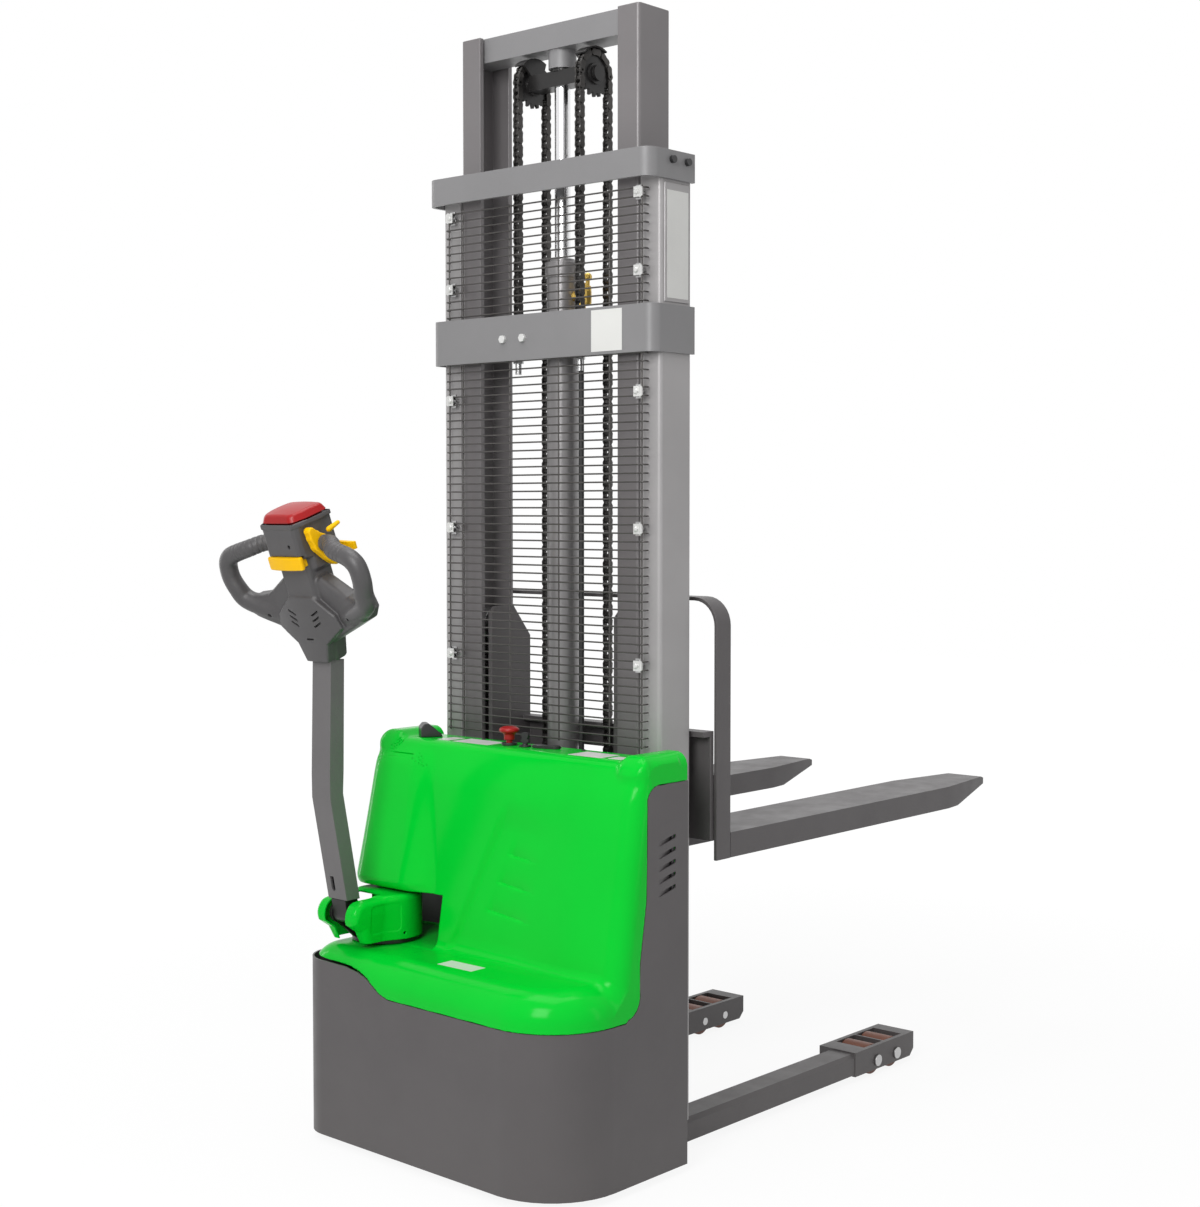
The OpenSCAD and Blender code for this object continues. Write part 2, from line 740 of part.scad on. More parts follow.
module hood_column(t) {
    x0 = t + 2 - body_w / 2;
    x1 = steer_x + 122 - t;
    low = face_back(well_top) + column_out - t;
    hull() {
        block_layer(x0 + 6, x1 - 14, low - 12, 60 - t, hood_front + 20, well_top + t);
        block_layer(x0 + 1, x1 - 3, low - 2, 68 - t, hood_front + 20, well_top + 7 + t);
        block_layer(x0, x1, low, 70 - t, hood_front + 20, well_top + 22 + t);
        block_layer(x0 + 4, x1 - 34, face_back(deck_h) + 6 - t, 50 - t, hood_front + 20, deck_h - 36);
    }
}

module hood_cheeks(t) {
    x = body_w / 2 - cheek_r - 1;
    z = deck_h + cheek_rise - cheek_r;
    mirrored() hull() {
        translate([x, t > 0 ? 5 : -1, z]) rotate([90, 0, 0]) cylinder(r = cheek_r - t, h = 2, $fn = 32);
        translate([x, -98, z]) rotate([90, 0, 0]) cylinder(r = cheek_r - t, h = 2, $fn = 32);
        translate([x - 4, -128, z - 6]) sphere(r = cheek_r - t - 12, $fn = 16);
    }
}

module hood_form(t) {
    hood_tower(t);
    hood_shelf(t);
    hood_column(t);
    hood_cheeks(t);
}

// Shallow slanted relief on the operator face, with three ribs in it
module face_relief(grow) {
    tilt = atan((face_foot - face_top) / (deck_h - shelf_h));
    translate([0, -face_foot, shelf_h]) rotate([-tilt, 0, 0]) {
        difference() {
            along(-20, relief_depth + grow) offset(delta = grow)
                polygon(concat([[-62, 14], [252, 10], [268, 60]],
                    arc(205, 300, 34, -10, 90, 5), arc(88, 290, 44, 90, 158, 5)));
            if (grow == 0) for (i = [0:2]) along(1, relief_depth + 1) polygon([[-16 + i * 22, 92 + i * 62],
                [142 + i * 8, 74 + i * 62], [146 + i * 8, 80 + i * 62], [-10 + i * 22, 104 + i * 62]]);
        }
    }
}

module hood() {
    gap = 1;
    color("limegreen") from_mast() difference() {
        hood_form(0);
        difference() {
            hood_form(hood_wall);
            translate([steer_x, steer_y, shelf_h - hood_wall])
                cylinder(r = well_r + hood_wall, h = well_top - shelf_h + 2 * hood_wall);
            face_relief(hood_wall);
        }
        translate([0, 0, gap]) seam_region();
        intersection() {
            translate([0, -gap, gap]) panel_region();
            difference() {
                cube([3 * body_w, 3 * body_w, 3 * body_w], center = true);
                translate([0, 0, -1]) linear_extrude(3 * deck_h)
                    intersection() {
                        polygon(plan(skirt_wall + gap));
                        translate([-body_w, -body_w]) square([2 * body_w, body_w - hood_front]);
                    }
            }
        }
        translate([steer_x, steer_y, shelf_h]) cylinder(r = well_r, h = well_top - shelf_h);
        translate([steer_x, steer_y, shelf_h - 20]) cylinder(d = 76, h = 40);
        face_relief(0);
        translate([e_stop_x, -deck_line, deck_h - 20]) cylinder(d = 23, h = 40);
        translate([key_x, -deck_line, deck_h - 20]) cylinder(d = 19, h = 40);
        translate([gauge_x, -deck_line, deck_h - 20]) rotate([0, 0, gauge_turn])
            translate([-18, -16, 0]) cube([36, 32, 40]);
    }
}

// Emergency stop collar and key barrel, set in the deck
module deck_switches() {
    color("black") from_mast() {
        translate([e_stop_x, -deck_line, 0]) difference() {
            union() {
                translate([0, 0, deck_h - 34]) cylinder(d = 22, h = 36);
                translate([0, 0, deck_h + 0.2]) cylinder(d = 34, h = 6);
                translate([0, 0, deck_h - 60]) cylinder(d = 30, h = 50);
            }
            translate([0, 0, deck_h - 20]) cylinder(d = 14.2, h = 40);
        }
        translate([key_x, -deck_line, 0]) difference() {
            union() {
                translate([0, 0, deck_h - 40]) cylinder(d = 18, h = 42);
                translate([0, 0, deck_h + 0.2]) cylinder(d = 26, h = 4);
            }
            translate([0, 0, deck_h - 10]) cylinder(d = 12.2, h = 20);
        }
    }
}

module e_stop_button() {
    color("red") from_mast() translate([e_stop_x, -deck_line, deck_h]) rotate_extrude()
        polygon(concat([[0, -10], [7, -10], [7, 12.5], [12, 12.5], [12, 24], [17, 29]],
            arc(17, 34, 5, -60, 60, 4), [[8, 41], [0, 42]]));
}

// Key with its bow standing up and a fob lying on the deck
module key() {
    color("black") from_mast() translate([key_x, -deck_line, deck_h]) {
        translate([0, 0, -8]) cylinder(d = 12, h = 14);
        difference() {
            translate([-12, -3, 5.9]) cube([24, 6, 26]);
            translate([0, 5, 24]) rotate([90, 0, 0]) cylinder(d = 5, h = 10);
        }
    }
}

// Hooded battery gauge, its display turned towards the tiller
module battery_gauge() {
    color("black") from_mast() translate([gauge_x, -deck_line, deck_h]) rotate([0, 0, gauge_turn]) {
        translate([-17, -15, -18]) cube([34, 30, 19]);
        across(44) polygon([[-24, 0.2], [26, 0.2], [22, 8], [-6, 31], [-16, 31], [-24, 22]]);
    }
}

module battery() {
    lid_inset = 4;
    color("black") from_mast() for (x = battery_xs) translate([x, -battery_back, deck_z + deck_t]) {
        cube([battery_l, battery_d, battery_h]);
        translate([lid_inset, lid_inset, battery_h - eps])
            cube([battery_l - 2 * lid_inset, battery_d - 2 * lid_inset, battery_lid_h]);
        for (tx = [post_inset, battery_l - post_inset])
            translate([tx, post_inset, battery_h + battery_lid_h - 1]) cylinder(d = post_d, h = post_d - 3);
    }
}

// Pump motor, valve block and oil tank bolted together
module power_unit() {
    z0 = deck_z + deck_t;
    valve_x = pipe_x - valve_l / 3;
    color("gray") from_mast() {
        translate([valve_x, pipe_back - valve_d / 2, z0 + 2]) cube([valve_l, valve_d, valve_h]);
        translate([valve_x + valve_l - 1, pipe_back, z0 + pump_motor_d / 2])
            rotate([0, 90, 0]) cylinder(d = pump_motor_d, h = pump_motor_l);
        translate([valve_x - tank_l, pipe_back - valve_d / 2 - 16, z0])
            cube([tank_l + eps, tank_d, tank_h]);
        translate([valve_x - tank_l / 2, pipe_back - valve_d / 3, z0 + tank_h - eps])
            cylinder(d = tank_cap_d, h = tank_cap_d / 2);
    }
}

module controller() {
    fins = 6;
    pitch = (controller_l - 2 * fin_t) / fins;
    color("gray") from_mast() translate([caster_x - 165, bulkhead_y, side_panel_h - 254]) {
        translate([0, -controller_d, 0]) cube([controller_l, controller_d, controller_h]);
        for (i = [0:fins]) translate([fin_t / 2 + i * pitch, -controller_d - fin_d, 4])
            cube([fin_t, fin_d + 1, controller_h - 8]);
    }
}

module steering_bearing() {
    color("silver") from_mast() translate([steer_x, steer_y, deck_z + deck_t]) difference() {
        cylinder(d = bearing_d, h = bearing_h);
        translate([0, 0, -1]) cylinder(d = bearing_bore, h = bearing_h + 2);
        for (a = [30:60:330]) rotate([0, 0, a])
            translate([bearing_bolt_r, 0, -1]) cylinder(d = 9, h = bearing_h + 2);
    }
}

// Upright traction motor over the side-mounted gear case
module drive_motor() {
    gear_x = drive_w / 2 + 6;
    axle_z = drive_d / 2;
    case_w = gear_d - 4;
    color("gray") from_mast() translate([steer_x, steer_y, 0]) {
        translate([0, 0, drive_d + 5]) cylinder(d = bearing_bore - 0.2, h = motor_z + 1 - drive_d - 5);
        translate([0, 0, motor_z]) cylinder(d = motor_flange_d, h = motor_flange_h);
        translate([0, 0, motor_z + motor_flange_h - 1]) cylinder(d = motor_d, h = motor_h);
        translate([0, 0, motor_z + motor_h + motor_flange_h - 2])
            cylinder(d = motor_d - 16, h = turntable_h);
        translate([gear_x, -case_w / 2, axle_z]) cube([gear_t, case_w, drive_d + 8 - axle_z]);
        x_rod(gear_d, gear_x, gear_x + gear_t, 0, axle_z);
        x_rod(wheel_hub_d, 5 - gear_x, gear_x + 5, 0, axle_z);
    }
}

module drive_wheel() {
    bore_r = wheel_hub_d / 2 + 0.05;
    color("black") from_mast() translate([steer_x, steer_y, drive_d / 2]) rotate([0, 90, 0])
        difference() {
            rotate_extrude($fn = 96) polygon([[bore_r, -20], [44, -20], [50, -drive_w / 2 + 6],
                [drive_d / 2 - 18, -drive_w / 2 + 4], [drive_d / 2 - 17, -drive_w / 2],
                [drive_d / 2 - 4, -drive_w / 2], [drive_d / 2, 4 - drive_w / 2],
                [drive_d / 2, drive_w / 2 - 4], [drive_d / 2 - 4, drive_w / 2],
                [drive_d / 2 - 17, drive_w / 2], [drive_d / 2 - 18, drive_w / 2 - 4],
                [50, drive_w / 2 - 6], [44, 20], [bore_r, 20]]);
            for (a = [0:60:300]) rotate([0, 0, a])
                translate([62, 0, -drive_w]) cylinder(d = 14, h = 2 * drive_w);
        }
}

module caster_fork() {
    top = deck_z - caster_pad - seat_gap;
    axle_z = caster_d / 2;
    cheek_t = 6;
    fork_x = caster_w / 2 + 3;
    color("dimgray") from_mast() translate([caster_x, caster_y, 0]) {
        translate([0, 0, top - cheek_t]) cylinder(d = caster_pin_d, h = caster_pad - 10);
        translate([0, 0, top - 14]) cylinder(d = 84, h = 14);
        mirrored() difference() {
            translate([fork_x, 0, 0]) rotate([90, 0, 90]) linear_extrude(cheek_t) polygon(concat(
                [[40, top - 8], [-34, top - 8]], arc(-caster_trail, axle_z, 20, 180, 330, 8)));
            x_rod(caster_axle_d, fork_x - 1, fork_x + 8, -caster_trail, axle_z);
        }
        x_rod(caster_axle_d, -fork_x - 9, fork_x + 9, -caster_trail, axle_z);
    }
}

module caster_wheel() {
    bore_r = caster_axle_d / 2 + 0.05;
    color("black") from_mast()
        translate([caster_x, caster_y - caster_trail, caster_d / 2]) rotate([0, 90, 0])
        rotate_extrude($fn = 72) polygon([[bore_r, -caster_w / 2], [16, -caster_w / 2],
            [18, 8 - caster_w / 2], [caster_d / 2 - 16, 8 - caster_w / 2],
            [caster_d / 2 - 14, -caster_w / 2], [caster_d / 2 - 4, -caster_w / 2],
            [caster_d / 2, 4 - caster_w / 2], [caster_d / 2, caster_w / 2 - 4],
            [caster_d / 2 - 4, caster_w / 2], [caster_d / 2 - 14, caster_w / 2],
            [caster_d / 2 - 16, caster_w / 2 - 8], [18, caster_w / 2 - 8], [16, caster_w / 2],
            [bore_r, caster_w / 2]]);
}

// Cast head on the steering column with two lugs and the pivot pin
module steering_head() {
    z0 = motor_z + motor_h + motor_flange_h + turntable_h - 2;
    lug_x = knuckle_w / 2 + seat_gap;
    color("black") from_mast() translate([steer_x, 0, 0]) {
        translate([0, steer_y, z0]) cylinder(d = column_d, h = shelf_h + 4 - z0);
        translate([0, steer_y, shelf_h + 2]) cylinder(d = turntable_d, h = turntable_h);
        difference() {
            for (x = [-lug_x - lug_t, lug_x]) translate([x, 0, 0])
                rotate([90, 0, 90]) linear_extrude(lug_t) polygon(concat(
                    [[steer_y + 20, shelf_h + 9], [steer_y + 20, shelf_h + 34]],
                    arc(pivot_y, pivot_h, 24, 80, 262, 8), [[steer_y - 70, shelf_h + 9]]));
            x_rod(pivot_d, -arm_w, arm_w, pivot_y, pivot_h);
        }
        x_rod(pivot_d, -lug_x - lug_t - 3, lug_x + lug_t + 3, pivot_y, pivot_h);
    }
}

// Two green shells round the steering head, open in the middle for the arm
module tiller_cover() {
    half = 66;
    z0 = shelf_h + 10.3;
    z1 = well_top - 5;
    wall = 4;
    color("limegreen") from_mast() translate([steer_x, 0, 0]) difference() {
        intersection() {
            union() {
                translate([0, steer_y, z0]) cylinder(r = 80, h = z1 - z0);
                across(2 * half) polygon(concat([[steer_y + 30, z0], [steer_y + 30, z1]],
                    [[steer_y - 40, z1]], arc(pivot_y, pivot_h, 35, 84, 250, 8),
                    [[steer_y - 84, z0]]));
            }
            translate([0, steer_y, z0 - 1]) cylinder(r = well_r - 5, h = z1);
        }
        intersection() {
            union() {
                translate([0, steer_y, z0 - 2]) cylinder(r = 80 - wall, h = z1 - z0 - wall + 2);
                across(2 * (half - wall)) polygon(concat([[steer_y + 30, z0 - 2],
                    [steer_y + 30, z1 - wall]], [[steer_y - 40, z1 - wall]],
                    arc(pivot_y, pivot_h, 35 - wall, 84, 250, 8), [[steer_y - 84 + wall, z0 - 2]]));
            }
            translate([0, steer_y, z0 - 3]) cylinder(r = well_r - 5 - wall, h = z1);
        }
        translate([-arm_w / 2 - 4, pivot_y - 60, z0 - 4])
            cube([arm_w + 8, pivot_back + 15, z1]);
    }
}

// Arm centreline in the Y-Z plane, measured from the pivot
arm_path = [[-8, 34], [-54, 0.5 * arm_l], [-49, arm_l]];
arm_top_y = pivot_y + arm_path[2][0];
arm_top_z = pivot_h + arm_l;

module tiller_knuckle() {
    y = pivot_y + arm_path[0][0];
    z = pivot_h + arm_path[0][1] - 0.2;
    color("black") from_mast() translate([steer_x, 0, 0]) difference() {
        across(knuckle_w) polygon(concat([[y + arm_d / 2 - 1, z], [y - arm_d / 2 + 1, z]],
            arc(pivot_y, pivot_h, 21, 170, 370, 10)));
        x_rod(pivot_d + 0.1, -arm_w, arm_w, pivot_y, pivot_h);
    }
}

module tiller_arm() {
    h = arm_d / 2;
    p = arm_path;
    color("dimgray") from_mast() translate([steer_x, pivot_y, pivot_h]) difference() {
        across(arm_w) polygon([[p[0][0] + h, p[0][1]], [p[1][0] + h, p[1][1] - 10],
            [p[1][0] + h + 2, p[1][1] + 40], [p[2][0] + h, p[2][1]], [p[2][0] - h, p[2][1]],
            [p[1][0] - h, p[1][1] + 30], [p[1][0] - h + 1, p[1][1] - 20], [p[0][0] - h, p[0][1]]]);
        across(arm_w - 2 * arm_wall) polygon([[p[0][0] + h - arm_wall, p[0][1] + 12],
            [p[1][0] + h - arm_wall, p[1][1]], [p[2][0] + h - arm_wall, p[2][1] - 30],
            [p[2][0] - h + arm_wall, p[2][1] - 30], [p[1][0] - h + arm_wall, p[1][1]],
            [p[0][0] - h + arm_wall, p[0][1] + 12]]);
        translate([-8, p[0][0] - h - 10, p[0][1] + 40]) along(0, 20) rotate([0, 0, 90]) slot_2d(44, 11);
    }
}

// Places the head's own frame: u along X, v up along the head, w towards the operator
module head_frame() {
    from_mast() translate([steer_x, arm_top_y, arm_top_z]) rotate([90 + head_tilt, 0, 0]) children();
}

// Centreline of the right grip in the head frame, from the neck lobe round to the body
function grip_path() = let (x = head_w / 2 - grip_d / 2) concat(
    [[70, 92, 6], [x - 96, 104, 12], [x - 44, 122, 20]],
    [for (a = [-60:30:30]) [x - 34 + 34 * cos(a), 158 + 34 * sin(a), 26]],
    [[x - 1, 196, 28]],
    [for (a = [20:23:66]) [x - 34 + 34 * cos(a), 214 + 34 * sin(a), 27]],
    [[x - 74, throttle_v - 4, 16], [x - 101, throttle_v + 1, -4], [lever_x + 18, throttle_v, throttle_w],
    [lever_x + 2.5, throttle_v, throttle_w]]);

// Ring of points round a path point, across the path's direction
function ring(p, d, r, n) = let (u = d / norm(d), a = cross(u, [0, 0, 1]), s = a / norm(a),
    q = cross(s, u)) [for (i = [0:n - 1]) p + r * (cos(360 * i / n) * s + sin(360 * i / n) * q)];

module tube(path, r, n = 12) {
    last = len(path) - 1;
    rings = [for (i = [0:last])
        each ring(path[i], path[min(i + 1, last)] - path[max(i - 1, 0)], r, n)];
    walls = [for (i = [0:last - 1], j = [0:n - 1])
        [i * n + j, i * n + (j + 1) % n, (i + 1) * n + (j + 1) % n, (i + 1) * n + j]];
    polyhedron(rings, concat([[for (j = [0:n - 1]) n - 1 - j]], walls,
        [[for (j = [0:n - 1]) last * n + j]]), convexity = 6);
}

module head_plate(w0, w1, inset) {
    translate([0, 0, w0]) linear_extrude(w1 - w0) offset(r = -inset) polygon([[-34, 0], [34, 0],
        [50, 44], [110, 66], [head_w / 2 - 58, 92], [head_w / 2 - 52, 128], [112, 150],
        [70, 196], [-70, 196], [-112, 150], [52 - head_w / 2, 128], [58 - head_w / 2, 92],
        [-110, 66], [-50, 44]]);
}

module head_shell() {
    top = head_l - 26;
    color("dimgray") head_frame() difference() {
        union() {
            hull() {
                head_plate(-26, 22, 0);
                head_plate(-32, 30, 8);
            }
            hull() {
                translate([-62, 170, -48]) cube([124, 40, 74]);
                translate([-60, 230, -66]) cube([120, top - 230, 98]);
                translate([-50, 236, -72]) cube([100, top - 250, 72 + head_front]);
            }
            mirrored() tube(grip_path(), grip_d / 2);
        }
        rotate([-90 - head_tilt, 0, 0]) translate([-arm_w / 2 - 0.3, -arm_d / 2 - 0.5, -60])
            cube([arm_w + 0.6, arm_d + 1, 60.2]);
        translate([-47, top - 20, -57]) cube([94, 40, 80]);
        x_rod(pivot_d + 0.1, -70, 70, throttle_v, throttle_w);
        translate([-46, 214, 16]) cube([92, 24, 40]);
        translate([-40, paddle_v - 15, -100]) cube([80, 30, 44]);
        translate([0, paddle_v - 20, paddle_w]) rotate([-90, 0, 0]) cylinder(d = 6.1, h = 40);
        mirrored() for (i = [0:2]) translate([24, 88 + 12 * i, 27]) rotate([0, 0, 26]) cube([22, 3, 10]);
    }
}

// Sprung red reversing button over the end of the head
module belly_button() {
    top = head_l - 26;
    color("red") head_frame() {
        translate([-46.5, top - 8, -56.5]) cube([93, 14, 79]);
        hull() {
            translate([-56, top + 5, -64]) cube([112, 6, 92]);
            translate([-46, top + 5, -54]) cube([92, head_l - top - 5, 70]);
        }
    }
}

// S-shaped butterfly levers between the head and its grips, on one shaft
module throttle() {
    hub_r = grip_d / 2 - 1;
    color("gold") head_frame() {
        x_rod(pivot_d, -lever_x, lever_x, throttle_v, throttle_w);
        mirrored() translate([lever_x - lever_t, throttle_v, throttle_w]) rotate([90, 0, 90])
            linear_extrude(lever_t) polygon(concat([[40, 2], [42, 18], [34, 27], [19, 24]],
                arc(0, 0, hub_r, 75, 170, 6), [[-36, -4], [-50, -14], [-53, -30], [-43, -38],
                [-29, -35], [-14, -21]], arc(0, 0, hub_r, 245, 325, 5), [[24, -7]]));
    }
}

module finger_paddles() {
    color("gold") head_frame() {
        translate([-36, paddle_v - 13, paddle_w - 10]) cube([72, 26, 16]);
        translate([0, paddle_v - 19.5, paddle_w]) rotate([-90, 0, 0]) cylinder(d = 6, h = 39);
        mirrored() hull() {
            translate([26, paddle_v - 13, paddle_w - 14]) cube([8, 26, 8]);
            translate([70, paddle_v - 8, paddle_w - 22]) cube([14, 16, 7]);
        }
    }
}

module horn_bar() {
    color("gold") head_frame() hull() {
        translate([-45.5, 214.5, 21]) cube([91, 23, 12]);
        translate([-40, 217, 44]) cube([80, 18, 1]);
    }
}

// Toothed wheel with a hub, its axis along X
module sprocket(right) {
    n = sprocket_teeth;
    ro = pitch_r + 4;
    ri = pitch_r - 5.2;
    color("black") from_mast() side(right)
        translate([chain_x, sprocket_y, sprocket_z]) rotate([90, 0, 90]) difference() {
            union() {
                translate([0, 0, -3.6]) linear_extrude(7.2) polygon([for (i = [0:n - 1],
                    k = [[ro, 0.38], [ro, 0.62], [ri + 2, 0.8], [ri, 0.94], [ri, 1.06], [ri + 2, 1.2]])
                    k[0] * [cos((i + k[1]) * 360 / n), sin((i + k[1]) * 360 / n)]]);
                translate([0, 0, -9]) cylinder(d = 46, h = 18);
            }
            translate([0, 0, -10]) cylinder(d = 25.1, h = 20);
        }
}

module sprocket_left() { sprocket(false); }
module sprocket_right() { sprocket(true); }

// Cross bar on the rod end with the sprocket shafts and the hooked guard plates
module sprocket_carrier() {
    guard_r = pitch_r + chain_h / 2 + 5;
    color("black") from_mast() translate([0, sprocket_y, sprocket_z]) {
        difference() {
            union() {
                translate([10.5 - chain_x, -22, -17]) cube([2 * chain_x - 21, 44, 34]);
                translate([0, 0, 16]) cylinder(d = boss_d - 12, h = rod_top - sprocket_z - 16);
            }
            translate([0, 0, -20]) cylinder(d = rod_d + 0.1, h = 80);
        }
        mirrored() {
            x_rod(25, chain_x - 20, chain_x + 14, 0, 0);
            x_rod(34, chain_x + 9.3, chain_x + 17, 0, 0);
            translate([chain_x - 16.5, 0, 0]) rotate([90, 0, 90]) linear_extrude(6) polygon(concat(
                [[-17, 14], [17, 14]], arc(0, 0, guard_r, 60, 138, 8)));
            translate([chain_x - 11, 0, 0]) rotate([90, 0, 90]) linear_extrude(24) polygon(concat(
                arc(0, 0, guard_r, 60, 138, 8), arc(0, 0, guard_r - 3.5, 138, 60, 8)));
        }
    }
}

module mast_rollers() {
    color("darkgray") from_mast() mirrored() difference() {
        x_rod(roller_d, inner_x + 7, inner_x + 41, rail_mid, mast_roller_z);
        x_rod(stub_d + 0.1, inner_x + 6, inner_x + 42, rail_mid, mast_roller_z);
    }
}

module carriage_rollers(z) {
    color("darkgray") from_mast() mirrored() difference() {
        x_rod(roller_d, side_plate_x + 14, side_plate_x + 48, rail_mid, z);
        x_rod(stub_d + 0.1, side_plate_x + 13, side_plate_x + 49, rail_mid, z);
    }
}

module carriage_rollers_top() { carriage_rollers(carriage_roller_top); }
module carriage_rollers_bottom() { carriage_rollers(carriage_roller_low); }

module carriage() {
    half = fork_over_w / 2 - fork_t - 0.3;
    color("dimgray") from_mast() {
        difference() {
            translate([-half, plate_y0, side_plate_bottom])
                cube([2 * half, carriage_t, carriage_top - side_plate_bottom]);
            translate([-60, plate_y0 - 1, side_plate_bottom + 120]) cube([120, carriage_t + 2, 60]);
        }
        translate([-half, plate_y0 - 24, carriage_top - carriage_t]) cube([2 * half, 24 + eps, carriage_t]);
        mirrored() {
            translate([side_plate_x - carriage_t, 0, 0]) rotate([90, 0, 90]) linear_extrude(carriage_t)
                polygon([[plate_y0 + 1, side_plate_bottom], [14, side_plate_bottom],
                    [14, side_plate_top - 12], [26, side_plate_top], [86, side_plate_top],
                    [plate_y0 + 1, side_plate_top - 70]]);
            for (z = [carriage_roller_top, carriage_roller_low])
                x_rod(stub_d, side_plate_x - eps, side_plate_x + stub_l + 6, rail_mid, z);
            translate([chain_x - 16, front_chain_y - 16, front_anchor_z])
                cube([32, plate_y0 + 16 - front_chain_y + eps, 16]);
        }
    }
}

// Channel-section fork, open underneath, with a tapered and bevelled nose
module fork(right) {
    x1 = fork_over_w / 2;
    x0 = x1 - fork_w;
    xm = x1 - fork_w / 2;
    tip = fork_face + fork_l;
    nose = tip - nose_l;
    z0 = fork_z - fork_h;
    heel = 130;
    color("dimgray") from_mast() side(right) {
        difference() {
            intersection() {
                translate([0, 0, z0]) linear_extrude(fork_h) polygon(concat([[x0, fork_face],
                    [x1, fork_face], [x1, nose]], arc(xm + tip_w / 2 - 14, tip - 14, 14, 20, 90, 4),
                    arc(xm - tip_w / 2 + 14, tip - 14, 14, 90, 160, 4), [[x0, nose]]));
                translate([xm, 0, 0]) across(fork_w + 10) polygon([[fork_face, z0], [fork_face, fork_z],
                    [tip - 24, fork_z], [tip, fork_z - 7], [tip, fork_z - 18], [nose + 60, z0]]);
            }
            translate([x0 + fork_t, fork_face - 1, z0 - 1])
                cube([fork_w - 2 * fork_t, fork_l - nose_l + 12, fork_h - fork_t + 1]);
        }
        translate([x0, plate_y1 + 0.2, side_plate_bottom])
            cube([fork_w - fork_t - 0.5, fork_face - plate_y1, fork_z + heel - side_plate_bottom]);
    }
}

module fork_left() { fork(false); }
module fork_right() { fork(true); }

module load_backrest() {
    x1 = fork_over_w / 2;
    z0 = fork_z - fork_h - 1;
    z1 = fork_z + backrest_h;
    r = backrest_r;
    color("dimgray") from_mast() along(plate_y1 - 0.01, fork_face - 0.3) difference() {
        polygon(concat([[x1, z0]], arc(x1 - r, z1 - r, r, 0, 90, 8), arc(r - x1, z1 - r, r, 90, 180, 8),
            [[-x1, z0]]));
        polygon(concat([[x1 - fork_t, z0 - 1]], arc(x1 - r, z1 - r, r - fork_t, 0, 90, 8),
            arc(r - x1, z1 - r, r - fork_t, 90, 180, 8), [[fork_t - x1, z0 - 1]]));
    }
}

// Side outline of one chain link between two pins, waisted between them
function link_points(l, h) = [for (sy = [1, -1]) each [for (p = [[0.5, -0.1], [0.26, 0.36],
    [-0.26, 0.36], [-0.5, -0.1]]) sy * [p[0] * h, l / 2 + p[1] * h]]];

// One link across the chain; every other link is the wider one with the outer plates.
// A link that lies over the teeth is open between its two plates.
module chain_link(i, over_teeth) {
    w = i % 2 == 0 ? chain_w : chain_w - 4.4;
    if (over_teeth) mirrored() translate([(w - chain_plate) / 2, 0, 0])
        across(chain_plate) polygon(link_points(chain_pitch, chain_h));
    else across(w) polygon(link_points(chain_pitch, chain_h));
}

// Straight run of chain hanging down from z = 0, its first links over the sprocket's teeth
module chain_run(length) {
    for (i = [0:floor(length / chain_pitch) - 1])
        translate([0, 0, -(i + 0.5) * chain_pitch]) chain_link(i, i < 3);
}

module chain_back() {
    color("black") from_mast() mirrored() translate([chain_x, back_chain_y, sprocket_z])
        chain_run(sprocket_z - anchor_z - 63);
}

module chain_front() {
    color("black") from_mast() mirrored() translate([chain_x, front_chain_y, sprocket_z])
        chain_run(sprocket_z - front_anchor_z - 17);
}

// Links that lie over the upper half of each sprocket
module chain_wraps() {
    n = sprocket_teeth / 2;
    step = 180 / n;
    color("black") from_mast() mirrored() translate([chain_x, sprocket_y, sprocket_z])
        for (i = [0:n - 1]) rotate([(i + 0.5) * step, 0, 0])
            translate([0, pitch_r * cos(step / 2), 0]) chain_link(i + 1, true);
}

chassis_frame();
leg_left();
leg_right();
roller_axles();
outer_mast_left();
outer_mast_right();
upper_strap();
middle_strap();
strap_bolts();
mast_guard();
guard_clips();
lift_cylinder();
hose_fitting();
lift_hose();
anchor_beam();
chain_anchors();
skirt();
hood();
steering_bearing();
battery();
power_unit();
controller();
deck_switches();
battery_gauge();
steering_head();
drive_motor();
tiller_cover();
drive_wheel();
caster_fork();
caster_wheel();
load_roller_1();
load_roller_2();
load_roller_3();
load_roller_4();
tiller_knuckle();
tiller_arm();
head_shell();
belly_button();
throttle();
finger_paddles();
horn_bar();
e_stop_button();
key();
inner_mast_left();
inner_mast_right();
inner_beams();
piston_rod();
sprocket_carrier();
sprocket_left();
sprocket_right();
mast_rollers();
carriage();
carriage_rollers_top();
carriage_rollers_bottom();
fork_left();
fork_right();
load_backrest();
chain_back();
chain_front();
chain_wraps();
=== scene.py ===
"""Looks of a walk-behind electric stacker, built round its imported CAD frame.

Metres. +X is the operator's right, +Y points to the fork tips, +Z is up.
Moulded shells are level sets of distance fields, plates and rails are bevelled copies of the
CAD nodes, and wires and chains are swept or repeated in loops.
"""

import json
import math

import bmesh
import bpy
import numpy as np
from mathutils import Matrix, Vector

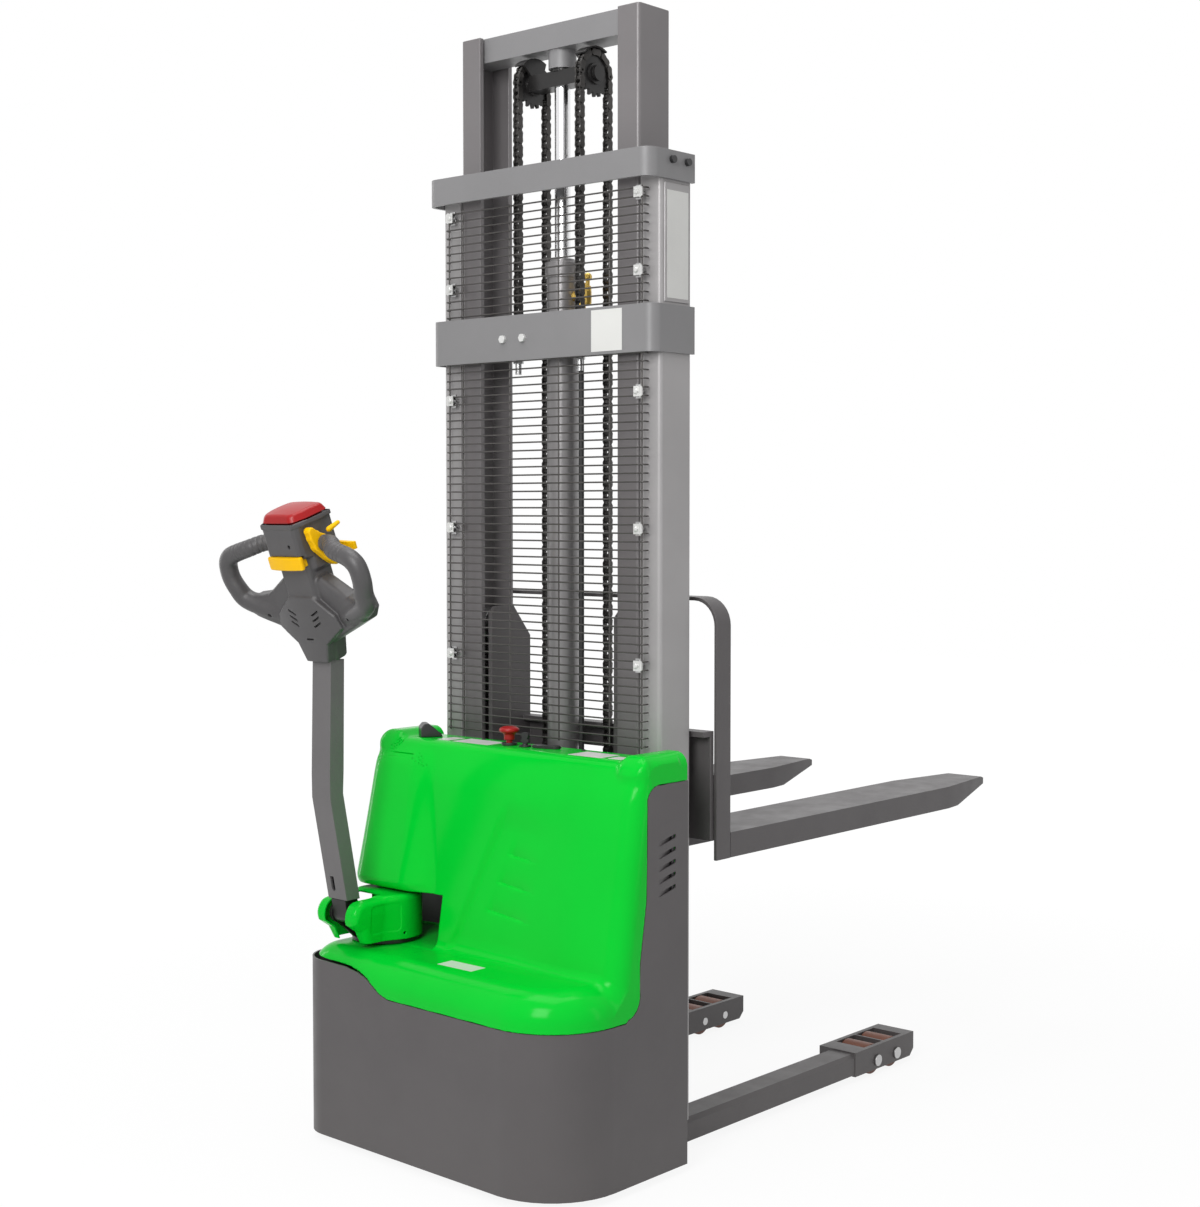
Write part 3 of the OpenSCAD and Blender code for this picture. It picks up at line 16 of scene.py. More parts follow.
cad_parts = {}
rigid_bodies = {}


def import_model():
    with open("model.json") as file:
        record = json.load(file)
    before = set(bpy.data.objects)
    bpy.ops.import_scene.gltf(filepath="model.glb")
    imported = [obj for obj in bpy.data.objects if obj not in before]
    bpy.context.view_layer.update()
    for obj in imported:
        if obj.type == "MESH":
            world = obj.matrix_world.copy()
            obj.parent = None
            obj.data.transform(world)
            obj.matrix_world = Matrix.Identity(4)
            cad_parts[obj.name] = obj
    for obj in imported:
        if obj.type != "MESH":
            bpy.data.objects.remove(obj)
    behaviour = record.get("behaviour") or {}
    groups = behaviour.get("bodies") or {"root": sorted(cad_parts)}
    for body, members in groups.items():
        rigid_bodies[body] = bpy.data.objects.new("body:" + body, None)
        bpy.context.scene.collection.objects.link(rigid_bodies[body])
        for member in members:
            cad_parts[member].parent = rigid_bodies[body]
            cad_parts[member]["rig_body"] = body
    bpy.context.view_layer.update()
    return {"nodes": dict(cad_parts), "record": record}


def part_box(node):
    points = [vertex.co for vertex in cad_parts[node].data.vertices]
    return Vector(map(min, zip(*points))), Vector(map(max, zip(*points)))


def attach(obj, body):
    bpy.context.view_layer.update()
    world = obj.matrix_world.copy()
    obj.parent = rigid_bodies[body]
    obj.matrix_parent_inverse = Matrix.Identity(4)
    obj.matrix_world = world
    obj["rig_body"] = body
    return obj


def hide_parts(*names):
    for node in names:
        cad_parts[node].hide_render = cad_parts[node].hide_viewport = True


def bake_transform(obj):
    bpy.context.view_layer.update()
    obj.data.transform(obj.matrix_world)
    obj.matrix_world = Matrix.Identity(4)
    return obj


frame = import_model()
NODES = frame["nodes"]

# The mast's middle and rear plane, from which most places are measured
RAIL_SEAT = 0.0015
MAST = Vector(((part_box("outer_mast_left")[0].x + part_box("outer_mast_right")[1].x) / 2,
               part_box("outer_mast_right")[0].y - RAIL_SEAT, 0.0))


# ---- materials


def fill(node, values):
    """Sets a node's inputs by name."""
    for socket, value in values.items():
        node.inputs[socket].default_value = value


class Nodes:
    """A material's node tree, built one link at a time."""

    def __init__(self, name):
        self.material = bpy.data.materials.new(name)
        self.material.use_nodes = True
        self.tree = self.material.node_tree
        self.shader = self.tree.nodes["Principled BSDF"]
        self.place = self.add("ShaderNodeTexCoord").outputs["Object"]

    def add(self, kind, **values):
        node = self.tree.nodes.new(kind)
        for key, value in values.items():
            setattr(node, key, value)
        return node

    def link(self, source, target):
        self.tree.links.new(source, target)

    def noise(self, scale, detail=3.0, rough=0.5, stretch=None):
        node = self.add("ShaderNodeTexNoise")
        fill(node, {"Scale": scale, "Detail": detail, "Roughness": rough})
        place = self.place
        if stretch:
            mapping = self.add("ShaderNodeMapping")
            mapping.inputs["Scale"].default_value = stretch
            self.link(place, mapping.inputs["Vector"])
            place = mapping.outputs["Vector"]
        self.link(place, node.inputs["Vector"])
        return node.outputs["Fac"]

    def ramp(self, source, low, high, start=0.35, end=0.65):
        node = self.add("ShaderNodeMapRange")
        fill(node, {"From Min": start, "From Max": end, "To Min": low, "To Max": high})
        self.link(source, node.inputs["Value"])
        return node.outputs["Result"]

    def mix(self, factor, first, second):
        node = self.add("ShaderNodeMix", data_type="RGBA")
        for value, socket in ((first, node.inputs["A"]), (second, node.inputs["B"])):
            if isinstance(value, tuple):
                socket.default_value = (*value, 1.0)
            else:
                self.link(value, socket)
        self.link(factor, node.inputs["Factor"])
        return node.outputs["Result"]

    def bump(self, height, distance, strength=1.0, below=None):
        node = self.add("ShaderNodeBump")
        fill(node, {"Distance": distance, "Strength": strength})
        self.link(height, node.inputs["Height"])
        if below:
            self.link(below, node.inputs["Normal"])
        return node.outputs["Normal"]


def shade(colour, factor):
    return tuple(min(1.0, c * factor) for c in colour)


LOOKS = {}
DUST, DUST_TOP = (0.20, 0.19, 0.175), 0.25
GLOSS_SPREAD = 0.12
WAVE_SCALE = 60.0


def finish(name, colour, rough, metal=0.0, spread=0.12, grain=0.0, grain_scale=500.0, wave=0.0,
           mirror=0.5, streaks=None, dust=0.0):
    """A coated or moulded surface: tone drift, fine grain, a long wave and varied gloss."""
    n = Nodes(name)
    drift = n.ramp(n.noise(5.0, 4.0), 0.0, 1.0)
    tone = n.mix(drift, shade(colour, 1 - spread), shade(colour, 1 + spread))
    fine = n.noise(grain_scale, 2.0, 0.6, streaks)
    speck = n.ramp(fine, 0.0, 1.0, 0.3, 0.7)
    tone = n.mix(n.ramp(speck, 0.0, 0.35), tone, shade(colour, 1 + spread))
    if dust:
        height = n.add("ShaderNodeSeparateXYZ")
        n.link(n.place, height.inputs["Vector"])
        low = n.ramp(height.outputs["Z"], dust, 0.0, 0.0, DUST_TOP)
        tone = n.mix(low, tone, DUST)
    n.link(tone, n.shader.inputs["Base Color"])
    patches = n.noise(14.0, 5.0, 0.65)
    gloss = n.ramp(patches, rough * (1 - GLOSS_SPREAD), rough * (1 + GLOSS_SPREAD))
    n.link(gloss, n.shader.inputs["Roughness"])
    normal = None
    if wave:
        normal = n.bump(n.noise(WAVE_SCALE, 2.0), wave)
    if grain:
        normal = n.bump(fine, grain, 0.6, normal)
    if normal:
        n.link(normal, n.shader.inputs["Normal"])
    fill(n.shader, {"Metallic": metal, "Specular IOR Level": mirror})
    LOOKS[name] = n.material


finish("hood_paint", (0.0010, 0.575, 0.031), 0.15, spread=0.03, mirror=0.10)
finish("grey_paint", (0.094, 0.087, 0.089), 0.42, spread=0.05, grain=0.00006, grain_scale=400.0,
       wave=0.0001, dust=0.10, mirror=0.35)
finish("mast_paint", (0.345, 0.334, 0.336), 0.38, metal=0.12, spread=0.05, grain=0.00004)
finish("mast_inner", (0.165, 0.155, 0.158), 0.38, metal=0.15, spread=0.05, grain=0.00004)
finish("strap_paint", (0.205, 0.202, 0.206), 0.42, spread=0.04, grain=0.00005, grain_scale=400.0)
finish("arm_paint", (0.125, 0.119, 0.121), 0.44, spread=0.05, grain=0.00006, grain_scale=400.0)
finish("cylinder_paint", (0.240, 0.232, 0.234), 0.36, metal=0.4, spread=0.05, grain=0.00004,
       grain_scale=400.0)
finish("chassis_paint", (0.035, 0.034, 0.036), 0.5, grain=0.00006)
finish("guard_wire", (0.085, 0.080, 0.077), 0.36, metal=0.70, spread=0.15)
finish("bolt_steel", (0.46, 0.46, 0.46), 0.30, metal=1.0, spread=0.12)
finish("black_steel", (0.020, 0.019, 0.019), 0.34, metal=0.3, spread=0.3, grain=0.00004)
finish("chain_steel", (0.050, 0.047, 0.045), 0.32, metal=0.7, spread=0.35, grain=0.00003)
finish("rod_chrome", (0.80, 0.80, 0.81), 0.16, metal=1.0, spread=0.02, grain=0.000004,
       grain_scale=400.0, streaks=(1.0, 1.0, 0.05))
finish("brass", (0.74, 0.50, 0.12), 0.28, metal=0.75, spread=0.12)
finish("zinc", (0.66, 0.66, 0.65), 0.30, metal=0.35, spread=0.10)
finish("hose_rubber", (0.018, 0.018, 0.018), 0.55, grain=0.00005)
finish("black_plastic", (0.016, 0.016, 0.017), 0.38, grain=0.00005, grain_scale=600.0)
finish("head_plastic", (0.067, 0.064, 0.066), 0.46, spread=0.06, grain=0.00009, grain_scale=600.0)
finish("yellow_plastic", (0.95, 0.53, 0.004), 0.36, spread=0.03, grain=0.00003, grain_scale=600.0,
       mirror=0.15)
finish("red_plastic", (0.34, 0.008, 0.009), 0.32, spread=0.04, grain=0.00002, grain_scale=600.0,
       mirror=0.30)
finish("wheel_rubber", (0.030, 0.030, 0.031), 0.62, grain=0.0001)
finish("roller_plastic", (0.16, 0.045, 0.018), 0.42, grain=0.00003)
finish("cast", (0.20, 0.20, 0.205), 0.45, metal=0.7, grain=0.0001)
finish("battery_case", (0.022, 0.022, 0.024), 0.5, grain=0.00008)
finish("plate_print", (0.66, 0.66, 0.64), 0.40, spread=0.04)

SLOTS = {s["node"]: s["material_slot"] for s in frame["record"]["subparts"]}
COATS = {"upper_strap": "strap_paint", "middle_strap": "strap_paint", "inner_beams": "strap_paint",
         "tiller_arm": "arm_paint", "lift_cylinder": "cylinder_paint"}
for node, thing in NODES.items():
    thing.data.materials.clear()
    thing.data.materials.append(LOOKS[COATS.get(node, SLOTS[node])])


# ---- mesh helpers


def in_scene(name, data):
    """A new object of the scene."""
    thing = bpy.data.objects.new(name, data)
    bpy.context.scene.collection.objects.link(thing)
    return thing


def place(name, mesh, body, slot, nodes=(), look=None, sharp=35.0):
    """Puts a mesh in the scene, smooth but for its sharp edges, riding on a CAD body if given."""
    thing = in_scene(name, mesh)
    if not mesh.materials:
        mesh.materials.append(look or LOOKS[slot])
    mesh.shade_smooth()
    mesh.set_sharp_from_angle(angle=math.radians(sharp))
    if "slope" in mesh.attributes:
        exact_normals(mesh)
    if body:
        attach(thing, body)
    if nodes:
        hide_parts(*nodes)
    return thing


def exact_normals(mesh):
    """Shades a moulded mesh by its field's slope, except where an edge is sharp."""
    slope = np.empty(len(mesh.vertices) * 3, np.float32)
    mesh.attributes["slope"].data.foreach_get("vector", slope)
    mesh.attributes.remove(mesh.attributes["slope"])
    corners = np.empty(len(mesh.loops), np.int32)
    mesh.loops.foreach_get("vertex_index", corners)
    ends = np.empty(len(mesh.edges) * 2, np.int32)
    mesh.edges.foreach_get("vertices", ends)
    hard = np.zeros(len(mesh.edges), bool)
    if "sharp_edge" in mesh.attributes:
        mesh.attributes["sharp_edge"].data.foreach_get("value", hard)
    plain = np.ones(len(mesh.vertices), np.float32)
    plain[ends.reshape(-1, 2)[hard].ravel()] = 0
    mesh.normals_split_custom_set((slope.reshape(-1, 3) * plain[:, None])[corners].tolist())


FLAT_ANGLE, BEVEL_ANGLE = math.radians(0.5), math.radians(28.0)


def body_of(node):
    return NODES[node]["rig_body"]


def bevelled(node, width):
    """A copy of a CAD node whose edges are rounded as pressed, cast or moulded ones are."""
    mesh = NODES[node].data.copy()
    work = bmesh.new()
    work.from_mesh(mesh)
    bmesh.ops.remove_doubles(work, verts=work.verts, dist=1e-6)
    bmesh.ops.dissolve_limit(work, angle_limit=FLAT_ANGLE, verts=work.verts, edges=work.edges)
    edges = [
        e for e in work.edges
        if len(e.link_faces) == 2 and e.calc_face_angle(0.0) > BEVEL_ANGLE
    ]
    bmesh.ops.bevel(work, geom=edges, offset=width, segments=2, profile=0.5, affect="EDGES",
                    clamp_overlap=True)
    work.to_mesh(mesh)
    work.free()
    thing = place(node + "_form", mesh, body_of(node), SLOTS[node], [node])
    thing.modifiers.new("weighted", "WEIGHTED_NORMAL").keep_sharp = True


def bevel_all(*rows):
    """Bevels the CAD nodes that each row names after their edges' width."""
    for width, names in rows:
        for name in names.split():
            bevelled(name, width)


class Build:
    """Collects many small closed forms into one mesh."""

    def __init__(self):
        self.points, self.faces = [], []

    def add(self, points, faces):
        start = len(self.points)
        self.points += [Vector(p) for p in points]
        self.faces += [[start + i for i in f] for f in faces]

    def skin(self, rings):
        """Walls between rings of points that follow each other, and a lid at each end."""
        n = len(rings[0])
        last = (len(rings) - 1) * n
        faces = [[r + i, r + (i + 1) % n, r + n + (i + 1) % n, r + n + i]
                 for r in range(0, last, n) for i in range(n)]
        faces += [list(range(n))[::-1], list(range(last, last + n))]
        self.add([p for ring in rings for p in ring], faces)

    def prism(self, outline, low, high, turn=Matrix.Identity(4)):
        """An outline in X-Y, extruded along Z and then turned into place."""
        self.skin([[turn @ Vector((*p, z)) for p in outline] for z in (low, high)])

    def lathe(self, profile, turn=Matrix.Identity(4), sides=32):
        """A profile of (radius, height) turned round Z, with a flat lid at each end."""
        angles = [2 * math.pi * i / sides for i in range(sides)]
        self.skin([[turn @ Vector((r * math.cos(a), r * math.sin(a), z)) for a in angles]
                   for r, z in profile])

    def tube(self, path, radius, sides=8):
        """A round wire along a path of points."""
        path = [Vector(p) for p in path]
        angles = [2 * math.pi * k / sides for k in range(sides)]
        across = (path[1] - path[0]).normalized().orthogonal().normalized()
        rings = []
        for behind, here, ahead in zip(path[:1] + path, path, path[1:] + path[-1:]):
            along = (ahead - behind).normalized()
            across = (across - along * across.dot(along)).normalized()
            other = along.cross(across)
            rings.append([here + radius * (math.cos(a) * across + math.sin(a) * other)
                          for a in angles])
        self.skin(rings)

    def mesh(self):
        mesh = bpy.data.meshes.new("form")
        mesh.from_pydata([tuple(p) for p in self.points], [], self.faces)
        mesh.update()
        work = bmesh.new()
        work.from_mesh(mesh)
        bmesh.ops.recalc_face_normals(work, faces=work.faces)
        work.to_mesh(mesh)
        work.free()
        return mesh


def mirrored(half):
    """A closed outline from its half at positive X."""
    return half + [(-x, y) for x, y in half[::-1]]


def arc(x, y, radius, first, last, steps):
    """Points on an arc, its angles in degrees."""
    return [
        (x + radius * math.cos(math.radians(a)), y + radius * math.sin(math.radians(a)))
        for a in np.linspace(first, last, steps + 1)
    ]


# ---- distance fields


def rounded(a, b, radius):
    """Overlap of two forms whose outer edge has a radius."""
    return np.minimum(np.maximum(a, b), -radius) + np.hypot(
        np.maximum(a + radius, 0), np.maximum(b + radius, 0)
    )


def joined(a, b, radius):
    """Union of two forms with a hollow fillet between them."""
    return np.maximum(np.minimum(a, b), radius) - np.hypot(
        np.maximum(radius - a, 0), np.maximum(radius - b, 0)
    )


def cut(form, *holes):
    """A form less the forms that hollow it."""
    for hole in holes:
        form = np.maximum(form, -hole)
    return form


def step(value, low, high):
    """Smooth step from 0 to 1."""
    t = np.clip((value - low) / (high - low), 0, 1)
    return t * t * (3 - 2 * t)


def block(x, y, z, low, high, radius):
    """A box with rounded edges."""
    parts = [
        np.abs(v - (a + b) / 2) - (b - a) / 2 + radius
        for v, a, b in zip((x, y, z), low, high)
    ]
    outside = np.sqrt(sum(np.maximum(p, 0) ** 2 for p in parts))
    return outside + np.minimum(np.maximum(np.maximum(*parts[:2]), parts[2]), 0) - radius


def outline_distance(x, y, outline):
    """Signed distance to a closed outline in a plane."""
    best = np.full(np.broadcast(x, y).shape, 1e9)
    inside = np.ones(best.shape)
    for (ax, ay), (bx, by) in zip(outline, outline[1:] + outline[:1]):
        ex, ey = bx - ax, by - ay
        wx, wy = x - ax, y - ay
        t = np.clip((wx * ex + wy * ey) / (ex * ex + ey * ey), 0, 1)
        best = np.minimum(best, (wx - ex * t) ** 2 + (wy - ey * t) ** 2)
        above, below, left = y >= ay, y < by, ex * wy > ey * wx
        flip = (above & below & left) | (~above & ~below & ~left)
        inside = np.where(flip, -inside, inside)
    return inside * np.sqrt(best)


def slab(flat, depth, low, high, radius):
    """An outline's distance made a plate from low to high with rounded rims."""
    return rounded(flat, np.abs(depth - (low + high) / 2) - (high - low) / 2, radius)


def path_distance(x, y, z, path, radii):
    """Distance to a tapering tube along a path."""
    best = np.full(np.broadcast(x, y, z).shape, 1e9)
    for a, b, ra, rb in zip(path, path[1:], radii, radii[1:]):
        a, e = np.array(a), np.array(b) - np.array(a)
        t = (x - a[0]) * e[0] + (y - a[1]) * e[1] + (z - a[2]) * e[2]
        t = np.clip(t / (e @ e), 0, 1)
        gap = np.sqrt(
            (x - a[0] - t * e[0]) ** 2 + (y - a[1] - t * e[1]) ** 2 + (z - a[2] - t * e[2]) ** 2
        )
        best = np.minimum(best, gap - ra - t * (rb - ra))
    return best


COARSE = 4


def net(field, low, high, cell):
    """Points and quads of a field's zero level, found on a fine grid near the surface only."""
    low = np.array(low, float)
    blocks = np.ceil((np.array(high) - low) / (cell * COARSE)).astype(int)
    coarse = [low[i] + cell * COARSE * (np.arange(blocks[i]) + 0.5) for i in range(3)]
    rough = field(*np.meshgrid(*coarse, indexing="ij"))
    near = np.abs(rough) < cell * COARSE * 1.5
    count = blocks * COARSE + 1
    fill = np.pad(rough, [(0, 1)] * 3, mode="edge")
    mask = np.zeros(blocks + 1, bool)
    corners = [(i, j, k) for i in (0, 1) for j in (0, 1) for k in (0, 1)]
    for dx, dy, dz in corners:
        mask[dx:blocks[0] + dx, dy:blocks[1] + dy, dz:blocks[2] + dz] |= near

    def spread(array):
        for axis in range(3):
            array = np.repeat(array, COARSE, axis=axis)
        return array[:count[0], :count[1], :count[2]]

    values = spread(fill).astype(np.float32)
    where = np.argwhere(spread(mask))
    spots = low + cell * where
    values[tuple(where.T)] = field(*spots.T)
    inside = values < 0

    def shifted(array, c):
        return array[tuple(slice(c[i], count[i] - 1 + c[i]) for i in range(3))]

    total = sum(shifted(inside, c).astype(np.int8) for c in corners)
    cells = np.argwhere((total > 0) & (total < 8))
    number = np.full(tuple(count - 1), -1, np.int64)
    number[tuple(cells.T)] = np.arange(len(cells))
    centre = np.zeros((len(cells), 3))
    hits = np.zeros(len(cells))
    for a in corners:
        for axis in range(3):
            if a[axis]:
                continue
            b = tuple(c + (i == axis) for i, c in enumerate(a))
            va = values[tuple((cells + a).T)]
            vb = values[tuple((cells + b).T)]
            crossed = (va < 0) != (vb < 0)
            share = np.where(crossed, va / np.where(crossed, va - vb, 1), 0)
            spot = np.array(a) + np.eye(3)[axis] * share[:, None]
            centre += np.where(crossed[:, None], spot, 0)
            hits += crossed
    points = low + cell * (cells + centre / hits[:, None])
    faces = []
    for axis in range(3):
        one, two = [i for i in range(3) if i != axis]
        first = inside[tuple(slice(0, -1) if i == axis else slice(1, -1) for i in range(3))]
        second = inside[tuple(slice(1, None) if i == axis else slice(1, -1) for i in range(3))]
        edges = np.argwhere(first != second)
        falling = first[tuple(edges.T)]
        edges[:, one] += 1
        edges[:, two] += 1
        ring = []
        for d1, d2 in ((1, 1), (0, 1), (0, 0), (1, 0)):
            spot = edges.copy()
            spot[:, one] -= d1
            spot[:, two] -= d2
            ring.append(number[tuple(spot.T)])
        quads = np.stack(ring, 1)
        turn = falling if axis != 1 else ~falling
        quads[~turn] = quads[~turn][:, ::-1]
        faces.append(quads)
    return points, np.concatenate(faces)


def slope_of(points, field, reach=2e-4):
    """The field's slope at points."""
    rise = [field(*(points + reach * axis).T) - field(*(points - reach * axis).T)
            for axis in np.eye(3)]
    return np.stack(rise, 1) / (2 * reach)


def settle(points, field, rounds, limit):
    """Moves points onto the field's zero level, so no trace of the grid stays."""
    for _ in range(rounds):
        here = field(*points.T)
        slope = slope_of(points, field)
        size = np.maximum((slope ** 2).sum(1), 0.25)
        move = -(here / size)[:, None] * slope
        length = np.maximum(np.linalg.norm(move, axis=1), 1e-12)
        points = points + move * np.minimum(1, limit / length)[:, None]
    return points


def moulded(field, low, high, cell, shift=MAST, turn=None):
    """A smooth closed mesh of a field, moved from its own frame into the row frame."""
    points, faces = net(field, low, high, cell)
    points = settle(points, field, 2, cell / 3)
    slope = slope_of(points, field, cell / 4)
    slope /= np.maximum(np.linalg.norm(slope, axis=1), 1e-9)[:, None]
    if turn is not None:
        points = points @ np.array(turn).T
        slope = slope @ np.array(turn).T
    points = points + np.array(shift)
    mesh = bpy.data.meshes.new("form")
    mesh.vertices.add(len(points))
    mesh.vertices.foreach_set("co", points.ravel().astype(np.float32))
    mesh.loops.add(faces.size)
    mesh.loops.foreach_set("vertex_index", faces.ravel().astype(np.int32))
    mesh.polygons.add(len(faces))
    mesh.polygons.foreach_set("loop_start", np.arange(0, faces.size, 4, dtype=np.int32))
    mesh.update(calc_edges=True)
    mesh.validate()
    mesh.attributes.new("slope", "FLOAT_VECTOR", "POINT")
    mesh.attributes["slope"].data.foreach_set("vector", slope.ravel().astype(np.float32))
    return mesh


# ---- hood

BODY_HALF = 0.400
BODY_REAR = 0.397
REAR_SKEW = 0.0306
SEAM = 0.353
DECK = 0.870
SHELF = 0.432
FACE_TOP, FACE_FOOT = 0.150, 0.226
FACE_LEAN = math.atan((FACE_FOOT - FACE_TOP) / (DECK - SHELF))
HOOD_FRONT = 0.032
HOOD_WALL = 0.0065
STEER = Vector((-0.285, -0.220))
WELL_R, WELL_TOP = 0.165, 0.545
PANEL_TOP = 0.824
ROLL_TOP, ROLL_INNER = DECK + 0.014, 0.322
STOP_X, KEY_X, SWITCH_Y = -0.036, 0.012, -0.082
SEAM_X = (-0.4, -0.24, -0.20, -0.17, -0.128, -0.10, 0.4)
SEAM_Z = (0.4065, 0.402, 0.396, 0.386, 0.361, 0.353, 0.353)


def face_frame(y, z):
    """Distance out of the operator face and height up it."""
    c, s = math.cos(FACE_LEAN), math.sin(FACE_LEAN)
    return -((y + FACE_FOOT) * c - (z - SHELF) * s), (y + FACE_FOOT) * s + (z - SHELF) * c


def face_pattern(x, up):
    """Depth of the slanted facet and its three ledges in the operator face."""
    slant = x + 0.062 - (up - 0.014) * 0.37
    edge = step(slant, -0.028, -0.006) * (1 - step(x, 0.05, 0.27))
    top = 1 - step(up, 0.27, 0.345)
    facet = 0.0105 * edge * top * step(up, -0.02, 0.04)
    ledge = 0.0 * x
    for i in range(3):
        line = up - (0.098 + 0.064 * i) + 0.11 * (x - 0.05)
        ledge = ledge + np.where(line > 0, np.exp(-line / 0.018), np.exp(line / 0.0022)) * 0.0056
    reach = step(slant, 0.030, 0.050) * (1 - step(x, 0.07, 0.15))
    return facet + ledge * reach


def hood_form(x, y, z, front=True):
    """Outside of the hood; without its front it is the block that the hollow is made from."""
    side = np.abs(x) - BODY_HALF
    out, up = face_frame(y, z)
    out = out + face_pattern(x, up)
    crease = out * math.cos(0.42) + (up - 0.405) * math.sin(0.42)
    tower = rounded(rounded(out, crease, 0.022), side, 0.042)
    tower = rounded(tower, z - DECK, 0.014)
    if front:
        tower = np.maximum(tower, y + HOOD_FRONT)
    tower = np.maximum(tower, SEAM - 0.03 - z)
    rear = -(y + BODY_REAR - (0.235 - x) * REAR_SKEW)
    plan = rounded(rounded(x - BODY_HALF, rear, 0.165), -x - BODY_HALF, 0.080)
    shelf = rounded(plan, z - SHELF, 0.064)
    if front:
        shelf = np.maximum(shelf, y + HOOD_FRONT)
    form = joined(tower, shelf, 0.020)
    # column over the tiller base
    rise = z - 0.567
    right = (x + 0.163 + rise * 0.13) * 0.99
    back = -(y + 0.236 - rise * 0.30) * 0.958
    column = rounded(rounded(back, right, 0.068), -x - BODY_HALF, 0.060)
    column = rounded(rounded(column, WELL_TOP - z, 0.024), z - DECK + 0.030, 0.03)
    column = np.maximum(column, y + HOOD_FRONT)
    form = joined(form, column, 0.030)
    # rolls at both ends of the deck
    roll = block(np.abs(x), y, z, (ROLL_INNER, -0.150, 0.79), (BODY_HALF - 0.0004, 0.04, ROLL_TOP),
                 0.030)
    ramp = (-(y + 0.128) + (z - ROLL_TOP) * 0.75) * 0.8
    roll = np.maximum(rounded(roll, ramp, 0.010), y + 0.001)
    roll = roll + 0.35 * np.maximum(0.845 - z, 0) * (1 - step(y, -0.052, -HOOD_FRONT))
    form = joined(form, roll, 0.010)
    form = np.maximum(form, side)
    if front:
        well = np.hypot(x - STEER.x, y - STEER.y) - WELL_R
        well = np.maximum(well, np.maximum(SHELF - z, z - WELL_TOP))
        form = rounded(form, -well, 0.003)
    return form


def panel_edge(z):
    """Where the side panel's rear edge lies at a height."""
    low = [(-191.4, 358.2), (-176.0, 362.8), (-163.3, 372.6), (-154.9, 386.2), (-152.0, 401.4)]
    upper = [(-152.0, 470.0), (-132.0, 594.0), (-128.5, 795.9), (-124.7, 806.5), (-117.6, 815.3)]
    rim = [(-107.9, 821.4), (-97.0, 823.9)]
    points = [(-212.0, 333.0), *low, *upper, *rim]
    return np.interp(z, [p[1] / 1000 for p in points], [p[0] / 1000 for p in points])


def hood_field(x, y, z):
    """The hood's shell, with its seam, side panel edge, steering hole and switch holes."""
    gap = 0.001
    outer = hood_form(x, y, z)
    inner = hood_form(x, y, z, False) + HOOD_WALL
    wall = np.hypot(x - STEER.x, y - STEER.y) - WELL_R - HOOD_WALL
    cup = np.maximum(wall, np.maximum(SHELF - HOOD_WALL - z, z - WELL_TOP - HOOD_WALL))
    tips = np.minimum(y + HOOD_FRONT + 0.006, np.abs(x) - 0.316)
    shell = cut(outer, np.maximum(cut(inner, cup), tips))
    seam = np.interp(x, SEAM_X, SEAM_Z) + gap
    shell = rounded(shell, seam - z, 0.0012)
    panel = np.maximum(z - PANEL_TOP - gap, panel_edge(z) - gap - y)
    side = -(np.abs(x) - BODY_HALF + 0.0055)
    shell = rounded(shell, -np.maximum(panel, side), 0.0012)
    stem = np.hypot(x - STEER.x, y - STEER.y) - 0.038
    shell = cut(shell, np.maximum(stem, z - 0.46))
    for hole_x, radius in ((STOP_X, 0.0115), (KEY_X, 0.0095)):
        shell = cut(shell, np.maximum(np.hypot(x - hole_x, y - SWITCH_Y) - radius, 0.84 - z))
    return shell


def make_hood():
    """Green shell whose tiller well is black inside."""
    mesh = moulded(hood_field, (-0.408, -0.408, 0.345), (0.408, 0.006, 0.896), 0.0028)
    mesh.materials.append(LOOKS["hood_paint"])
    mesh.materials.append(LOOKS["black_plastic"])
    for face in mesh.polygons:
        spot = face.center - MAST
        radius = math.hypot(spot.x - STEER.x, spot.y - STEER.y)
        wall = radius > WELL_R - 0.003 or spot.z > WELL_TOP - 0.002
        if wall and radius < WELL_R + 0.002 and SHELF + 0.004 < spot.z < WELL_TOP + 0.001:
            face.material_index = 1
    return place("hood_shell", mesh, "truck", "hood_paint", ["hood"], sharp=50.0)


make_hood()


# ---- plates, rails and forks

bevel_all(
    (0.0022, "outer_mast_left outer_mast_right inner_mast_left inner_mast_right"),
    (0.0012, "upper_strap middle_strap inner_beams anchor_beam"),
    (0.0016, "leg_left leg_right fork_left fork_right load_backrest carriage"),
    (0.0018, "tiller_arm tiller_knuckle steering_head"),
    (0.0010, "skirt"),
)


# ---- mast guard


WIRE_R, WIRE_PITCH = 0.0018, 0.018


def make_guard():
    """Round wires: loops that hook round the uprights' plane, and six uprights."""
    low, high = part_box("mast_guard")
    back = low.y + WIRE_R
    half = (high.x - low.x) / 2 - WIRE_R
    bend, corner = 0.0145, 0.006
    wires = int((high.z - low.z - 0.01) / WIRE_PITCH)
    build = Build()
    rounds = arc(half - corner, back - MAST.y + corner, corner, -90, 0, 4)
    right = [*rounds, (half, back - MAST.y + bend)]
    left = [(-x, y) for x, y in right[::-1]]
    for i in range(wires + 1):
        z = low.z + 0.003 + WIRE_R + i * WIRE_PITCH
        build.tube([(x + MAST.x, y + MAST.y, z) for x, y in left + right], WIRE_R)
    uprights = [(i - 0.67) * 0.147 + 0.002 for i in range(-1, 3)] + [-half + 0.008, half - 0.008]
    for x in uprights:
        build.tube([(x + MAST.x, back + 2 * WIRE_R, z) for z in np.linspace(low.z, high.z, 12)],
                   WIRE_R)
    place("guard_wires", build.mesh(), "truck", "guard_wire", ["mast_guard"], sharp=60.0)


make_guard()


# ---- tiller head

